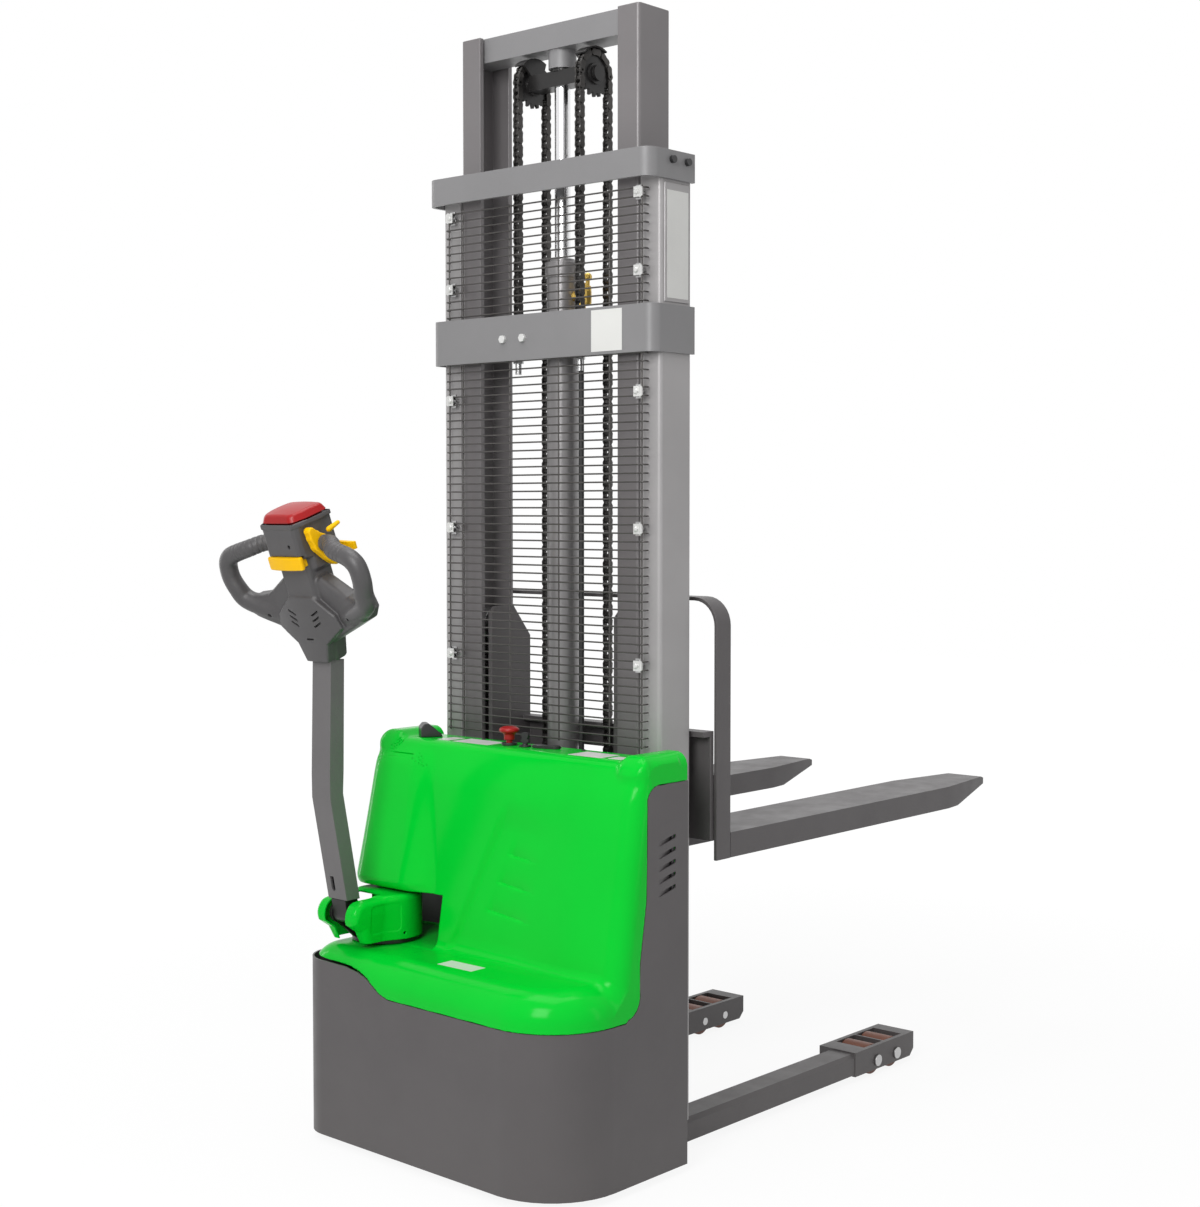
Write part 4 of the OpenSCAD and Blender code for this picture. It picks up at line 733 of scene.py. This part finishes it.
TILT = math.radians(20)
HEAD_AT = MAST + Vector((STEER.x, -0.384, 1.065))
HEAD_TURN = Matrix(((1, 0, 0), (0, -math.sin(TILT), -math.cos(TILT)),
                    (0, math.cos(TILT), -math.sin(TILT))))
SHAFT_V, SHAFT_W = 0.262, -0.014
PADDLE_V = 0.229
PADDLE_HALF = 0.0152
LEVER_X, LEVER_HALF = 0.0672, 0.0118
HUB_R = 0.0205
CASE_HALF, CASE_SLOPE = 0.0605, 0.45
LOBES = mirrored([(0.034, 0.0), (0.046, 0.044), (0.108, 0.070), (0.172, 0.098), (0.186, 0.120),
                  (0.180, 0.144), (0.128, 0.150), (0.060, 0.192)])
CHEST = mirrored([(0.034, 0.004), (0.048, 0.046), (0.100, 0.082), (0.090, 0.112), (0.038, 0.154)])
GRIP_X = 0.233 - 0.020
GRIP = [
    (0.110, 0.106, 0.000), (0.150, 0.118, 0.008), (GRIP_X - 0.019, 0.140, 0.018),
    (GRIP_X - 0.007, 0.168, 0.025), (GRIP_X + 0.001, 0.196, 0.027),
    (GRIP_X - 0.0015, 0.2245, 0.0265), (GRIP_X - 0.014, 0.2405, 0.0255),
    (GRIP_X - 0.034, 0.2485, 0.0225),
    (GRIP_X - 0.074, SHAFT_V - 0.004, 0.016), (GRIP_X - 0.101, SHAFT_V + 0.001, -0.004),
    (0.094, SHAFT_V, SHAFT_W), (0.0795, SHAFT_V, SHAFT_W),
]
GRIP_R = [0.018, 0.0215, 0.0215, 0.0205, 0.0200, 0.0200, 0.0200, 0.0195, 0.0190, 0.0185, 0.0180,
          0.0180]


def smooth_path(path, radii, steps=6):
    """Catmull-Rom points and radii through a path."""
    rows = np.array([(*p, r) for p, r in zip(path, radii)])
    rows = np.vstack([2 * rows[0] - rows[1], rows, 2 * rows[-1] - rows[-2]])
    out = []
    for a, b, c, d in zip(rows, rows[1:], rows[2:], rows[3:]):
        for t in np.arange(steps) / steps:
            out.append(0.5 * (2 * b + (c - a) * t + (2 * a - 5 * b + 4 * c - d) * t ** 2
                              + (3 * b - a - 3 * c + d) * t ** 3))
    out.append(rows[-2])
    return np.array(out)


def grip_field(u, v, w):
    """The bent grip with rings pressed into its upper arm."""
    rows = smooth_path(GRIP, GRIP_R)
    best = np.full(u.shape, 1e9)
    along = np.zeros(u.shape)
    run = 0.0
    for a, b in zip(rows, rows[1:]):
        e = b[:3] - a[:3]
        length = math.sqrt(e @ e)
        t = np.clip(((u - a[0]) * e[0] + (v - a[1]) * e[1] + (w - a[2]) * e[2]) / length ** 2, 0, 1)
        gap = np.sqrt((u - a[0] - t * e[0]) ** 2 + (v - a[1] - t * e[1]) ** 2
                      + (w - a[2] - t * e[2]) ** 2) - a[3] - t * (b[3] - a[3])
        along = np.where(gap < best, run + t * length, along)
        best = np.minimum(best, gap)
        run += length
    back = run - along
    ring = np.exp(-(((back % 0.0125) - 0.006) / 0.0016) ** 2)
    ring = ring * step(back, 0.010, 0.016) * (1 - step(back, 0.112, 0.118))
    return best + 0.0011 * ring


def head_field(u, v, w):
    """Lobed plate, chest, neck, casing and grips, less the pockets for what moves in them."""
    x = np.abs(u)
    plate = outline_distance(x, v, LOBES)
    base = slab(plate, w, -0.030, 0.013 + 0.010 * step(x, 0.10, 0.17), 0.013)
    chest = outline_distance(x, v, CHEST)
    swell = 0.032 - 0.9 * x ** 2 - 1.2 * np.maximum(v - 0.11, 0) ** 2
    chest = rounded(chest, np.maximum(w - swell, (chest + w - swell + 0.003) * 0.72), 0.0015)
    chest = np.maximum(chest, -0.026 - w)
    form = joined(base, chest, 0.003)
    neck = block(x, v, w, (-0.047, 0.12, -0.044), (0.047, 0.25, 0.022), 0.008)
    form = joined(form, neck, 0.006)
    lean = w - 0.037 + (v - 0.24) * 0.02
    top = block(x, v, w, (-CASE_HALF, 0.2395, -0.068), (CASE_HALF, 0.320, 0.06), 0.009)
    top = rounded(top, lean, 0.007)
    shoulder = (x - CASE_HALF + (w - 0.012) * CASE_SLOPE) * 0.91
    top = rounded(top, shoulder, 0.006)
    rear = block(x, v, w, (-0.0560, 0.206, -0.062), (0.0560, 0.29, 0.008), 0.010)
    form = joined(form, joined(top, rear, 0.004), 0.005)
    lip = block(x, v, w, (-0.0615, 0.308, -0.0685), (0.0615, 0.3195, 0.0375), 0.003)
    lip = rounded(lip, (x - 0.0615 + (w - 0.012) * CASE_SLOPE) * 0.91, 0.003)
    form = joined(form, lip, 0.0015)
    form = joined(form, grip_field(x, v, w), 0.006)
    # hollows
    pocket = block(x, v, w, (-0.047, 0.299, -0.057), (0.047, 0.35, 0.023), 0.001)
    form = cut(form, pocket)
    shaft = np.hypot(v - SHAFT_V, w - SHAFT_W)
    slot = np.abs(x - LEVER_X) - LEVER_HALF
    form = cut(form, np.maximum(shaft - 0.0095, x - 0.080), np.maximum(shaft - HUB_R, slot))
    lever = np.maximum(slot, np.maximum(0.196 - v, v - 0.3090))
    form = np.where(shaft > HUB_R, cut(form, lever), form)
    horn = block(x, v, w, (-0.046, 0.2218, 0.0125), (0.046, 0.2475, 0.06), 0.0005)
    bed = block(x, v, w, (-0.0542, 0.2178, 0.0262), (0.0542, 0.2492, 0.07), 0.0005)
    rim = np.maximum(x - 0.0592 + np.maximum(w, 0) * 0.28, np.abs(w + 0.0165) - 0.0507)
    paddle = block(x, v, w, (-0.0402, PADDLE_V - PADDLE_HALF, -0.1),
                   (0.0402, PADDLE_V + PADDLE_HALF, -0.056), 0.0005)
    pin = np.maximum(np.hypot(x, w + 0.070) - 0.00305, np.abs(v - PADDLE_V) - 0.020)
    form = cut(form, horn, bed, np.maximum(rim, 0.3160 - v), paddle, pin)
    for i in range(3):
        s, t = x - 0.036, v - 0.092 - 0.013 * i
        long = s * math.cos(0.454) + t * math.sin(0.454)
        wide = -s * math.sin(0.454) + t * math.cos(0.454)
        vent = np.hypot(np.maximum(np.abs(long) - 0.011, 0), wide) - 0.0020
        form = cut(form, np.maximum(vent, 0.024 - w))
    foot = np.hypot(np.maximum(x - 0.010, 0), v - 0.058) - 0.0014
    form = cut(form, np.maximum(foot, 0.024 - w))
    for cx, cv, cr, base_w in ((0.128, 0.104, 0.0040, 0.008), (0.024, 0.270, 0.0044, 0.029)):
        screw = np.maximum(np.hypot((x if cx > 0.1 else u) - cx, v - cv) - cr, base_w - w)
        form = rounded(form, -screw, 0.0006)
    y, z = -v * math.sin(TILT) - w * math.cos(TILT), v * math.cos(TILT) - w * math.sin(TILT)
    socket = np.maximum(np.maximum(x - 0.0303, np.abs(y) - 0.0195), z - 0.0002)
    return cut(form, socket)


def button_field(u, v, w):
    """Crowned red cap on its stem."""
    stem = block(u, v, w, (-0.0465, 0.311, -0.0565), (0.0465, 0.33, 0.0225), 0.001)
    crown = 0.341 - 0.9 * u ** 2 - 1.3 * (w + 0.02) ** 2
    cap = np.maximum(v - crown, 0.3215 - v)
    sides = np.abs(u) - 0.0585 + (v - 0.3215) * 0.42 + np.maximum(w, 0) * 0.28
    ends = np.abs(w + 0.0165) - 0.0500 + (v - 0.3215) * 0.40
    cap = rounded(rounded(rounded(sides, ends, 0.012), v - crown, 0.005), 0.3215 - v, 0.0015)
    return np.minimum(stem, cap)


def lever_field(u, v, w):
    """Both butterfly levers with their wings, on one shaft."""
    x = np.abs(u)
    a, b = v - SHAFT_V, w - SHAFT_W
    disc = np.hypot(a, b) - 0.0200
    blade = path_distance(a, b, 0 * a, [(0.032, 0.0195, 0), (0.018, 0.013, 0), (0.0, 0.003, 0),
                                        (-0.028, -0.012, 0), (-0.0430, -0.0235, 0)],
                          [0.0090, 0.0145, 0.0200, 0.0155, 0.0130])
    flat = joined(disc, blade, 0.004)
    plate = rounded(flat, np.abs(x - 0.0660) - 0.0098, 0.0034)
    shaft = np.maximum(np.hypot(a, b) - 0.008, x - 0.078)
    wing = path_distance(a, b, x - 0.076, [(0.022, -0.024, 0), (0.030, -0.044, 0.010)],
                         [0.006, 0.0045])
    return np.minimum(joined(plate, wing, 0.004), shaft)


def horn_field(u, v, w):
    """Bowed horn bar on its stem."""
    stem = block(u, v, w, (-0.0455, 0.2225, 0.0165), (0.0455, 0.2455, 0.030), 0.001)
    front = 0.0455 - 1.8 * u ** 2
    bar = block(u, v, w, (-0.053, 0.2190, 0.0300), (0.053, 0.2480, 0.06), 0.004)
    return np.minimum(stem, rounded(bar, w - front, 0.004))


for name, field, node, low, high, cell in (
    ("head_form", head_field, "head_shell",
     (-0.238, -0.004, -0.082), (0.238, 0.325, 0.052), 0.0018),
    ("button_form", button_field, "belly_button",
     (-0.066, 0.305, -0.075), (0.066, 0.350, 0.045), 0.0015),
    ("lever_form", lever_field, "throttle", (-0.098, 0.194, -0.078), (0.098, 0.320, 0.030), 0.0015),
    ("horn_form", horn_field, "horn_bar", (-0.056, 0.214, 0.012), (0.056, 0.252, 0.050), 0.0012),
):
    place(name, moulded(field, low, high, cell, HEAD_AT, HEAD_TURN), body_of(node), SLOTS[node],
          [node], sharp=44.0)
bevelled("finger_paddles", 0.002)


# ---- tiller base covers

COVER_LOW, COVER_HIGH = 0.4423, 0.540
PIVOT_Y, PIVOT_Z = -0.335, 0.505


def cover_form(x, y, z, inset=0.0):
    """Outside of the covers over the tiller's base, or a smaller copy of it."""
    px, py = x - STEER.x, y - STEER.y
    drum = np.hypot(px, py) - 0.080 + inset
    flat = outline_distance(y, z, [
        (STEER.y + 0.03, COVER_LOW - 0.03), (STEER.y + 0.03, COVER_HIGH),
        (STEER.y - 0.050, COVER_HIGH),
        *arc(PIVOT_Y + 0.002, PIVOT_Z - 0.004, 0.0385, 84, 200, 12),
        (-0.343, 0.470), (STEER.y - 0.094, COVER_LOW - 0.03)]) + inset
    sides = np.abs(px) - 0.066 + inset + np.maximum(PIVOT_Z - z, 0) * 0.10
    form = joined(rounded(flat, sides, 0.015), drum, 0.012)
    form = rounded(form, z - COVER_HIGH + inset, 0.012)
    return np.maximum(form, np.hypot(px, py) - 0.160 + inset)


def cover_field(x, y, z):
    """The covers' shell with its sunk flanks, the slot for the knuckle and the screws."""
    px = x - STEER.x
    outer = cover_form(x, y, z)
    flank = block(np.abs(px), y, z, (0.0500, -0.322, 0.462), (0.10, -0.245, 0.524), 0.010)
    outer = outer + 0.0012 * (1 - step(flank, -0.0010, 0.0010))
    shell = cut(outer, cover_form(x, y, z, 0.004))
    shell = rounded(shell, COVER_LOW - z, 0.0008)
    slot = np.maximum(np.abs(px) - 0.034, np.maximum(-0.40 - y, y + 0.265))
    shell = rounded(shell, -slot, 0.0010)
    screw = np.maximum(np.hypot(y + 0.236, z - 0.456) - 0.0035, 0.060 - np.abs(px))
    return cut(shell, screw)


place("cover_form", moulded(cover_field, (-0.358, -0.385, 0.438), (-0.200, -0.130, 0.545), 0.002),
      "steering", "hood_paint", ["tiller_cover"], sharp=46.0)


# ---- lift chains

PITCH = 0.015875
SPROCKET_R = 0.04571
SHAFT_Z = 2.330
CHAIN_X = 0.092
RUN_Y = 0.0535


def link_plate(build, middle, along, x, thick, height):
    """A waisted chain plate between two pins, lying across X."""
    along = along.normalized()
    side = Vector((1, 0, 0)).cross(along)
    outline = []
    for sign in (1, -1):
        for a in np.linspace(-80, 80, 5):
            r = math.radians(a)
            outline.append((sign * (PITCH / 2 + height / 2 * math.cos(r)),
                            sign * height / 2 * math.sin(r)))
        outline.append((0.0, sign * height * 0.42))
    turn = Matrix(((0, 0, 1, 0), (along.y, side.y, 0, 0), (along.z, side.z, 0, 0), (0, 0, 0, 1)))
    turn.translation = middle
    build.prism(outline, x - thick / 2, x + thick / 2, turn)


def chain(build, pins, first_wide):
    """Plates between neighbouring pins, and a roller and a pin at each."""
    for sign in (-1, 1):
        for i, (a, b) in enumerate(zip(pins, pins[1:])):
            out = 0.0077 if (i + first_wide) % 2 else 0.0054
            middle = (a + b) / 2 + Vector((sign * CHAIN_X, 0, 0))
            for x in (-out, out):
                link_plate(build, middle, b - a, x, 0.0021, 0.0149)
        for p in pins:
            turn = Matrix.Translation(p + Vector((sign * CHAIN_X, 0, 0)))
            turn = turn @ Matrix.Rotation(math.pi / 2, 4, "Y")
            build.lathe([(0.0051, -0.0042), (0.0051, 0.0042)], turn, 12)
            build.lathe([(0.0026, -0.0090), (0.0026, 0.0090)], turn, 8)


def make_chains():
    """Two straight strands from the sprockets' shaft down to their ends, and links over the
    sprockets.
    """
    for node, y, bodies in (("chain_back", RUN_Y - SPROCKET_R, ("truck", "inner_mast")),
                            ("chain_front", RUN_Y + SPROCKET_R, ("carriage", "inner_mast"))):
        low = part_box(node)[0].z
        count = round((SHAFT_Z - low) / PITCH)
        pins = [MAST + Vector((0, y, SHAFT_Z - i * PITCH)) for i in range(count + 1)]
        build = Build()
        chain(build, pins, 0)
        strand = place(node + "_links", build.mesh(), None, "chain_steel", [node])
        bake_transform(strand)
    build = Build()
    turns = [math.pi * i / 9 for i in range(10)]
    chain(build, [
        MAST + Vector((0, RUN_Y + SPROCKET_R * math.cos(a), SHAFT_Z + SPROCKET_R * math.sin(a)))
        for a in turns
    ], 1)
    place("wrap_links", build.mesh(), body_of("chain_wraps"), "chain_steel", ["chain_wraps"])


make_chains()


# ---- smaller pieces

bevel_all(
    (0.0015, "lift_cylinder"),
    (0.0012, "piston_rod"),
    (0.0010, "sprocket_carrier"),
    (0.0004, "sprocket_left sprocket_right"),
    (0.0008, "hose_fitting"),
    (0.0006, "chain_anchors strap_bolts guard_clips"),
    (0.0010, "deck_switches"),
    (0.0020, "battery_gauge"),
    (0.0012, "roller_axles"),
    (0.0015, "load_roller_1 load_roller_2 load_roller_3 load_roller_4 mast_rollers "
     "carriage_rollers_top carriage_rollers_bottom"),
    (0.0010, "drive_wheel caster_wheel"),
    (0.0012, "caster_fork"),
    (0.0020, "drive_motor"),
    (0.0010, "chassis_frame"),
    (0.0040, "battery"),
    (0.0030, "power_unit"),
    (0.0010, "controller steering_bearing"),
)


def make_e_stop():
    """Mushroom button with a dished top and a short neck."""
    build = Build()
    profile = [(0.007, -0.010), (0.007, 0.0125), (0.0115, 0.0125), (0.0120, 0.0131)]
    profile += [(0.0120, 0.0225), (0.0126, 0.0242), (0.0150, 0.0266), (0.0172, 0.0282)]
    profile += [(0.0171 + x, z) for x, z in arc(0, 0.0335, 0.0052, -70, 60, 8)]
    profile += [(0.0165, 0.0395), (0.0120, 0.0413), (0.0060, 0.0418), (0.0010, 0.0419)]
    centre = MAST + Vector((STOP_X, SWITCH_Y, DECK))
    build.lathe(profile, Matrix.Translation(centre), 48)
    place("stop_button", build.mesh(), "e_stop_button", "red_plastic", ["e_stop_button"])


def make_key():
    """Key with a rounded bow, standing in its barrel."""
    build = Build()
    centre = MAST + Vector((KEY_X, SWITCH_Y, DECK))
    build.lathe([(0.006, -0.008), (0.006, 0.0052), (0.0052, 0.006)],
                Matrix.Translation(centre), 24)
    turn = Matrix.Translation(centre) @ Matrix.Rotation(math.pi / 2, 4, "X")
    outline = [(-0.006, 0.0058), (0.006, 0.0058), (0.006, 0.010)]
    outline += arc(0.0055, 0.0125, 0.006, -20, 70, 4) + arc(0.0045, 0.0255, 0.0062, 0, 90, 4)
    outline += arc(-0.0045, 0.0255, 0.0062, 90, 180, 4) + arc(-0.0055, 0.0125, 0.006, 110, 200, 4)
    build.prism([*outline, (-0.006, 0.010)], -0.0026, 0.0026, turn)
    place("key_form", build.mesh(), "key", "black_plastic", ["key"])


make_e_stop()
make_key()


def make_fob():
    """Black fob of the key, lying on the deck."""
    build = Build()
    for share, low, high in ((1.0, 0.0016, 0.0052), (0.93, 0.0004, 0.0064)):
        outline = [(share * x, share * y) for x, y in
                   arc(0.022, 0, 0.0125, -90, 90, 12) + arc(-0.022, 0, 0.0125, 90, 270, 12)]
        turn = Matrix.Translation(MAST + Vector((0.064, -0.070, DECK)))
        build.prism(outline, low, high, turn @ Matrix.Rotation(math.radians(14), 4, "Z"))
    place("key_fob", build.mesh(), "truck", "black_plastic")


def make_ramps():
    """Sloping floors behind the side louvres, deepest at their front ends."""
    build = Build()
    rise = math.radians(13)
    for sign in (-1, 1):
        for i in range(-2, 3):
            turn = Matrix((
                (0, -sign, 0, 0), (math.cos(rise), 0, -math.sin(rise), 0),
                (math.sin(rise), 0, math.cos(rise), 0), (0, 0, 0, 1),
            ))
            turn.translation = MAST + Vector((sign * BODY_HALF, -0.067, 0.656 + 0.026 * i))
            wedge = [(-0.0285, 0.0008), (0.012, 0.0070), (0.030, 0.0150), (0.030, 0.0165),
                     (-0.0285, 0.0040)]
            build.prism(wedge, -0.0058, 0.0058, turn)
    place("louvre_ramps", build.mesh(), "truck", "grey_paint")


def make_screws():
    """Small black screws that hold the deck."""
    build = Build()
    profile = [(0.0050, 0.0002), (0.0050, 0.0014), (0.0036, 0.0026), (0.0004, 0.0030)]
    for x in (-0.296, 0.296, -0.150, 0.150):
        build.lathe(profile, Matrix.Translation(MAST + Vector((x, -0.046, DECK))), 16)
    place("deck_screws", build.mesh(), "truck", "black_plastic")


def make_clips():
    """Bright plates and bolts that press the guard's uprights to the rails."""
    build = Build()
    front = MAST.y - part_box("mast_guard")[0].y
    for sign in (-1, 1):
        for gap in (9, 25, 41, 55, 64):
            spot = MAST + Vector((sign * 0.278, 0, 0.886 + (gap + 0.5) * WIRE_PITCH))
            turn = Matrix.Translation(spot) @ Matrix.Rotation(math.pi / 2, 4, "X")
            build.prism([(-0.008, -0.011), (0.008, -0.011), (0.008, 0.011), (-0.008, 0.011)],
                        front + 0.0002, front + 0.0022, turn)
            tab = [(sign * x, y) for x, y in ((0.007, -0.013), (0.014, -0.009), (0.014, 0.009),
                                              (0.007, 0.013))]
            build.prism(tab[::sign], front - 0.003, front + 0.0012, turn)
            build.lathe([(0.0056, front + 0.002), (0.0056, front + 0.0055),
                         (0.0040, front + 0.0072), (0.0004, front + 0.0076)], turn, 18)
    place("clip_plates", build.mesh(), "truck", "bolt_steel", look=LOOKS["zinc"])


def make_valve():
    """Flow valve that stands on the fitting: hexagon, neck and ball end."""
    build = Build()
    turn = Matrix.Translation(MAST + Vector((0.074, 0.0535, 1.854)))
    build.prism(arc(0, 0, 0.0092, 0, 300, 5), -0.016, 0.008, turn)
    profile = [(0.0004, -0.022), (0.0074, -0.022), (0.0080, -0.0205), (0.0080, 0.018),
               (0.0072, 0.0195), (0.0046, 0.0205), (0.0046, 0.031)]
    build.lathe(profile + arc(0, 0.0395, 0.0095, -62, 88, 12), turn, 28)
    place("flow_valve", build.mesh(), "truck", "brass")


BETWEEN_STRAPS = 2.0


def coat_bolts():
    """Bright bolts in the middle strap, black ones in the upper."""
    mesh = bpy.data.objects["strap_bolts_form"].data
    for face in mesh.polygons:
        face.material_index = int(face.center.z > BETWEEN_STRAPS)
    mesh.materials[0] = LOOKS["zinc"]
    mesh.materials.append(LOOKS["black_plastic"])


make_fob()
make_ramps()
make_screws()
make_clips()
make_valve()
coat_bolts()

PLATE_SEAT, PLATE_THICK = 0.0001, 0.0004


def plate(name, corners, normal):
    """A thin blank plate on a flat face, its corners given from the mast's middle."""
    build = Build()
    normal = Vector(normal)
    low = [MAST + Vector(c) + normal * PLATE_SEAT for c in corners]
    build.skin([low, [p + normal * PLATE_THICK for p in low]])
    place(name, build.mesh(), "truck", "black_plastic", look=LOOKS["plate_print"])


for name, x0, x1, y0, y1, z in (
    ("plate_deck_1", -0.232, -0.196, -0.112, -0.060, DECK),
    ("plate_deck_2", -0.180, -0.070, -0.116, -0.056, DECK),
    ("plate_deck_3", 0.170, 0.262, -0.118, -0.056, DECK),
    ("plate_deck_4", 0.276, 0.312, -0.112, -0.076, DECK),
    ("plate_shelf", -0.015, 0.085, -0.322, -0.280, SHELF),
):
    plate(name, [(x0, y0, z), (x1, y0, z), (x1, y1, z), (x0, y1, z)], (0, 0, 1))
plate("plate_strap", [(0.160, -0.032, 1.720), (0.246, -0.032, 1.720), (0.246, -0.032, 1.808),
                      (0.160, -0.032, 1.808)], (0, -1, 0))
plate("plate_mast", [(0.3255, 0.020, 1.828), (0.3255, 0.090, 1.828), (0.3255, 0.090, 2.052),
                     (0.3255, 0.020, 2.052)], (1, 0, 0))


# ---- camera, light and floor


# The photograph's camera, as fitted to the truck's straight edges; pixels of the photo
LONG_SIDE_PX, FOCAL_PX, SHIFT_PX = 1207, 1901.9, (-7.52, -12.33)
EYE = Vector((2.85608, -3.06771, 1.38306))
LOOK_DOWN, HEADING = 2.42, 41.12
WHITE = (1.0, 1.0, 1.0, 1.0)
FLOOR_HALF, FLOOR_GLOW = 12.0, 1.03
# The floor's own light, from under the truck to where no shadow falls
FLOOR_FADE = {"From Min": 1.2, "From Max": 3.5, "To Min": 0.88, "To Max": 1.0}


def make_camera():
    data = bpy.data.cameras.new("camera")
    camera = in_scene("camera", data)
    data.sensor_width = 36.0
    data.lens = FOCAL_PX / LONG_SIDE_PX * data.sensor_width
    data.shift_x, data.shift_y = (shift / LONG_SIDE_PX for shift in SHIFT_PX)
    data.clip_end = 50.0
    camera.location = EYE + MAST
    camera.rotation_euler = (math.radians(90 - LOOK_DOWN), 0.0, math.radians(HEADING))
    bpy.context.scene.camera = camera


def area(name, spot, target, size, power):
    """A rectangular lamp turned to its target."""
    data = bpy.data.lights.new(name, "AREA")
    data.shape = "RECTANGLE"
    data.size, data.size_y = size
    data.energy = power
    lamp = in_scene(name, data)
    lamp.location = spot
    lamp.rotation_euler = (Vector(target) - Vector(spot)).to_track_quat("-Z", "Y").to_euler()


def seen_rays(tree):
    """Factor for what is seen directly, mirrored or through glass."""
    rays = tree.nodes.new("ShaderNodeLightPath")
    factor = rays.outputs["Is Camera Ray"]
    for name in ("Is Glossy Ray", "Is Transmission Ray"):
        most = tree.nodes.new("ShaderNodeMath")
        most.operation = "MAXIMUM"
        tree.links.new(factor, most.inputs[0])
        tree.links.new(rays.outputs[name], most.inputs[1])
        factor = most.outputs[0]
    return factor


def make_floor():
    """White floor with a faint shadow, bright enough far off to show no horizon."""
    build = Build()
    build.prism(mirrored([(FLOOR_HALF, -FLOOR_HALF), (FLOOR_HALF, FLOOR_HALF)]), -0.02, 0.0)
    mesh = build.mesh()
    floor = in_scene("floor", mesh)
    n = Nodes("floor")
    tone = n.mix(n.noise(3.0), (0.80, 0.80, 0.80), (0.83, 0.83, 0.83))
    n.link(tone, n.shader.inputs["Base Color"])
    n.shader.inputs["Roughness"].default_value = 0.9
    glow, mix = n.add("ShaderNodeEmission"), n.add("ShaderNodeMixShader")
    glow.inputs["Strength"].default_value = FLOOR_GLOW
    reach, fade = n.add("ShaderNodeVectorMath", operation="LENGTH"), n.add("ShaderNodeMapRange")
    part = n.add("ShaderNodeMath", operation="MULTIPLY")
    n.link(n.add("ShaderNodeNewGeometry").outputs["Position"], reach.inputs[0])
    n.link(reach.outputs["Value"], fade.inputs["Value"])
    fill(fade, FLOOR_FADE)
    n.link(seen_rays(n.tree), part.inputs[0])
    n.link(fade.outputs["Result"], part.inputs[1])
    n.link(part.outputs["Value"], mix.inputs["Fac"])
    n.link(n.shader.outputs["BSDF"], mix.inputs[1])
    n.link(glow.outputs["Emission"], mix.inputs[2])
    n.link(mix.outputs["Shader"], n.tree.nodes["Material Output"].inputs["Surface"])
    mesh.materials.append(n.material)


def make_world():
    """Soft grey light from a world that looks white."""
    world = bpy.data.worlds.new("studio")
    bpy.context.scene.world = world
    world.use_nodes = True
    tree = world.node_tree
    light, white = tree.nodes["Background"], tree.nodes.new("ShaderNodeBackground")
    fill(light, {"Color": WHITE, "Strength": 0.30})
    fill(white, {"Color": WHITE, "Strength": 1.0})
    mix = tree.nodes.new("ShaderNodeMixShader")
    tree.links.new(seen_rays(tree), mix.inputs["Fac"])
    tree.links.new(light.outputs["Background"], mix.inputs[1])
    tree.links.new(white.outputs["Background"], mix.inputs[2])
    tree.links.new(mix.outputs["Shader"], tree.nodes["World Output"].inputs["Surface"])


make_camera()
area("key", (1.5, -3.9, 3.0), (0, 0, 0.9), (1.6, 2.4), 118)
area("left_strip", (-3.6, -0.9, 1.5), (-0.1, -0.4, 0.9), (0.35, 2.6), 13)
area("right_strip", (4.0, 0.6, 1.6), (0.1, 0, 1.0), (0.5, 2.8), 7)
area("top", (0.0, -0.5, 4.2), (0, 0, 1), (2.5, 2.5), 66)
make_floor()
make_world()
bpy.context.scene.view_settings.view_transform = "Standard"
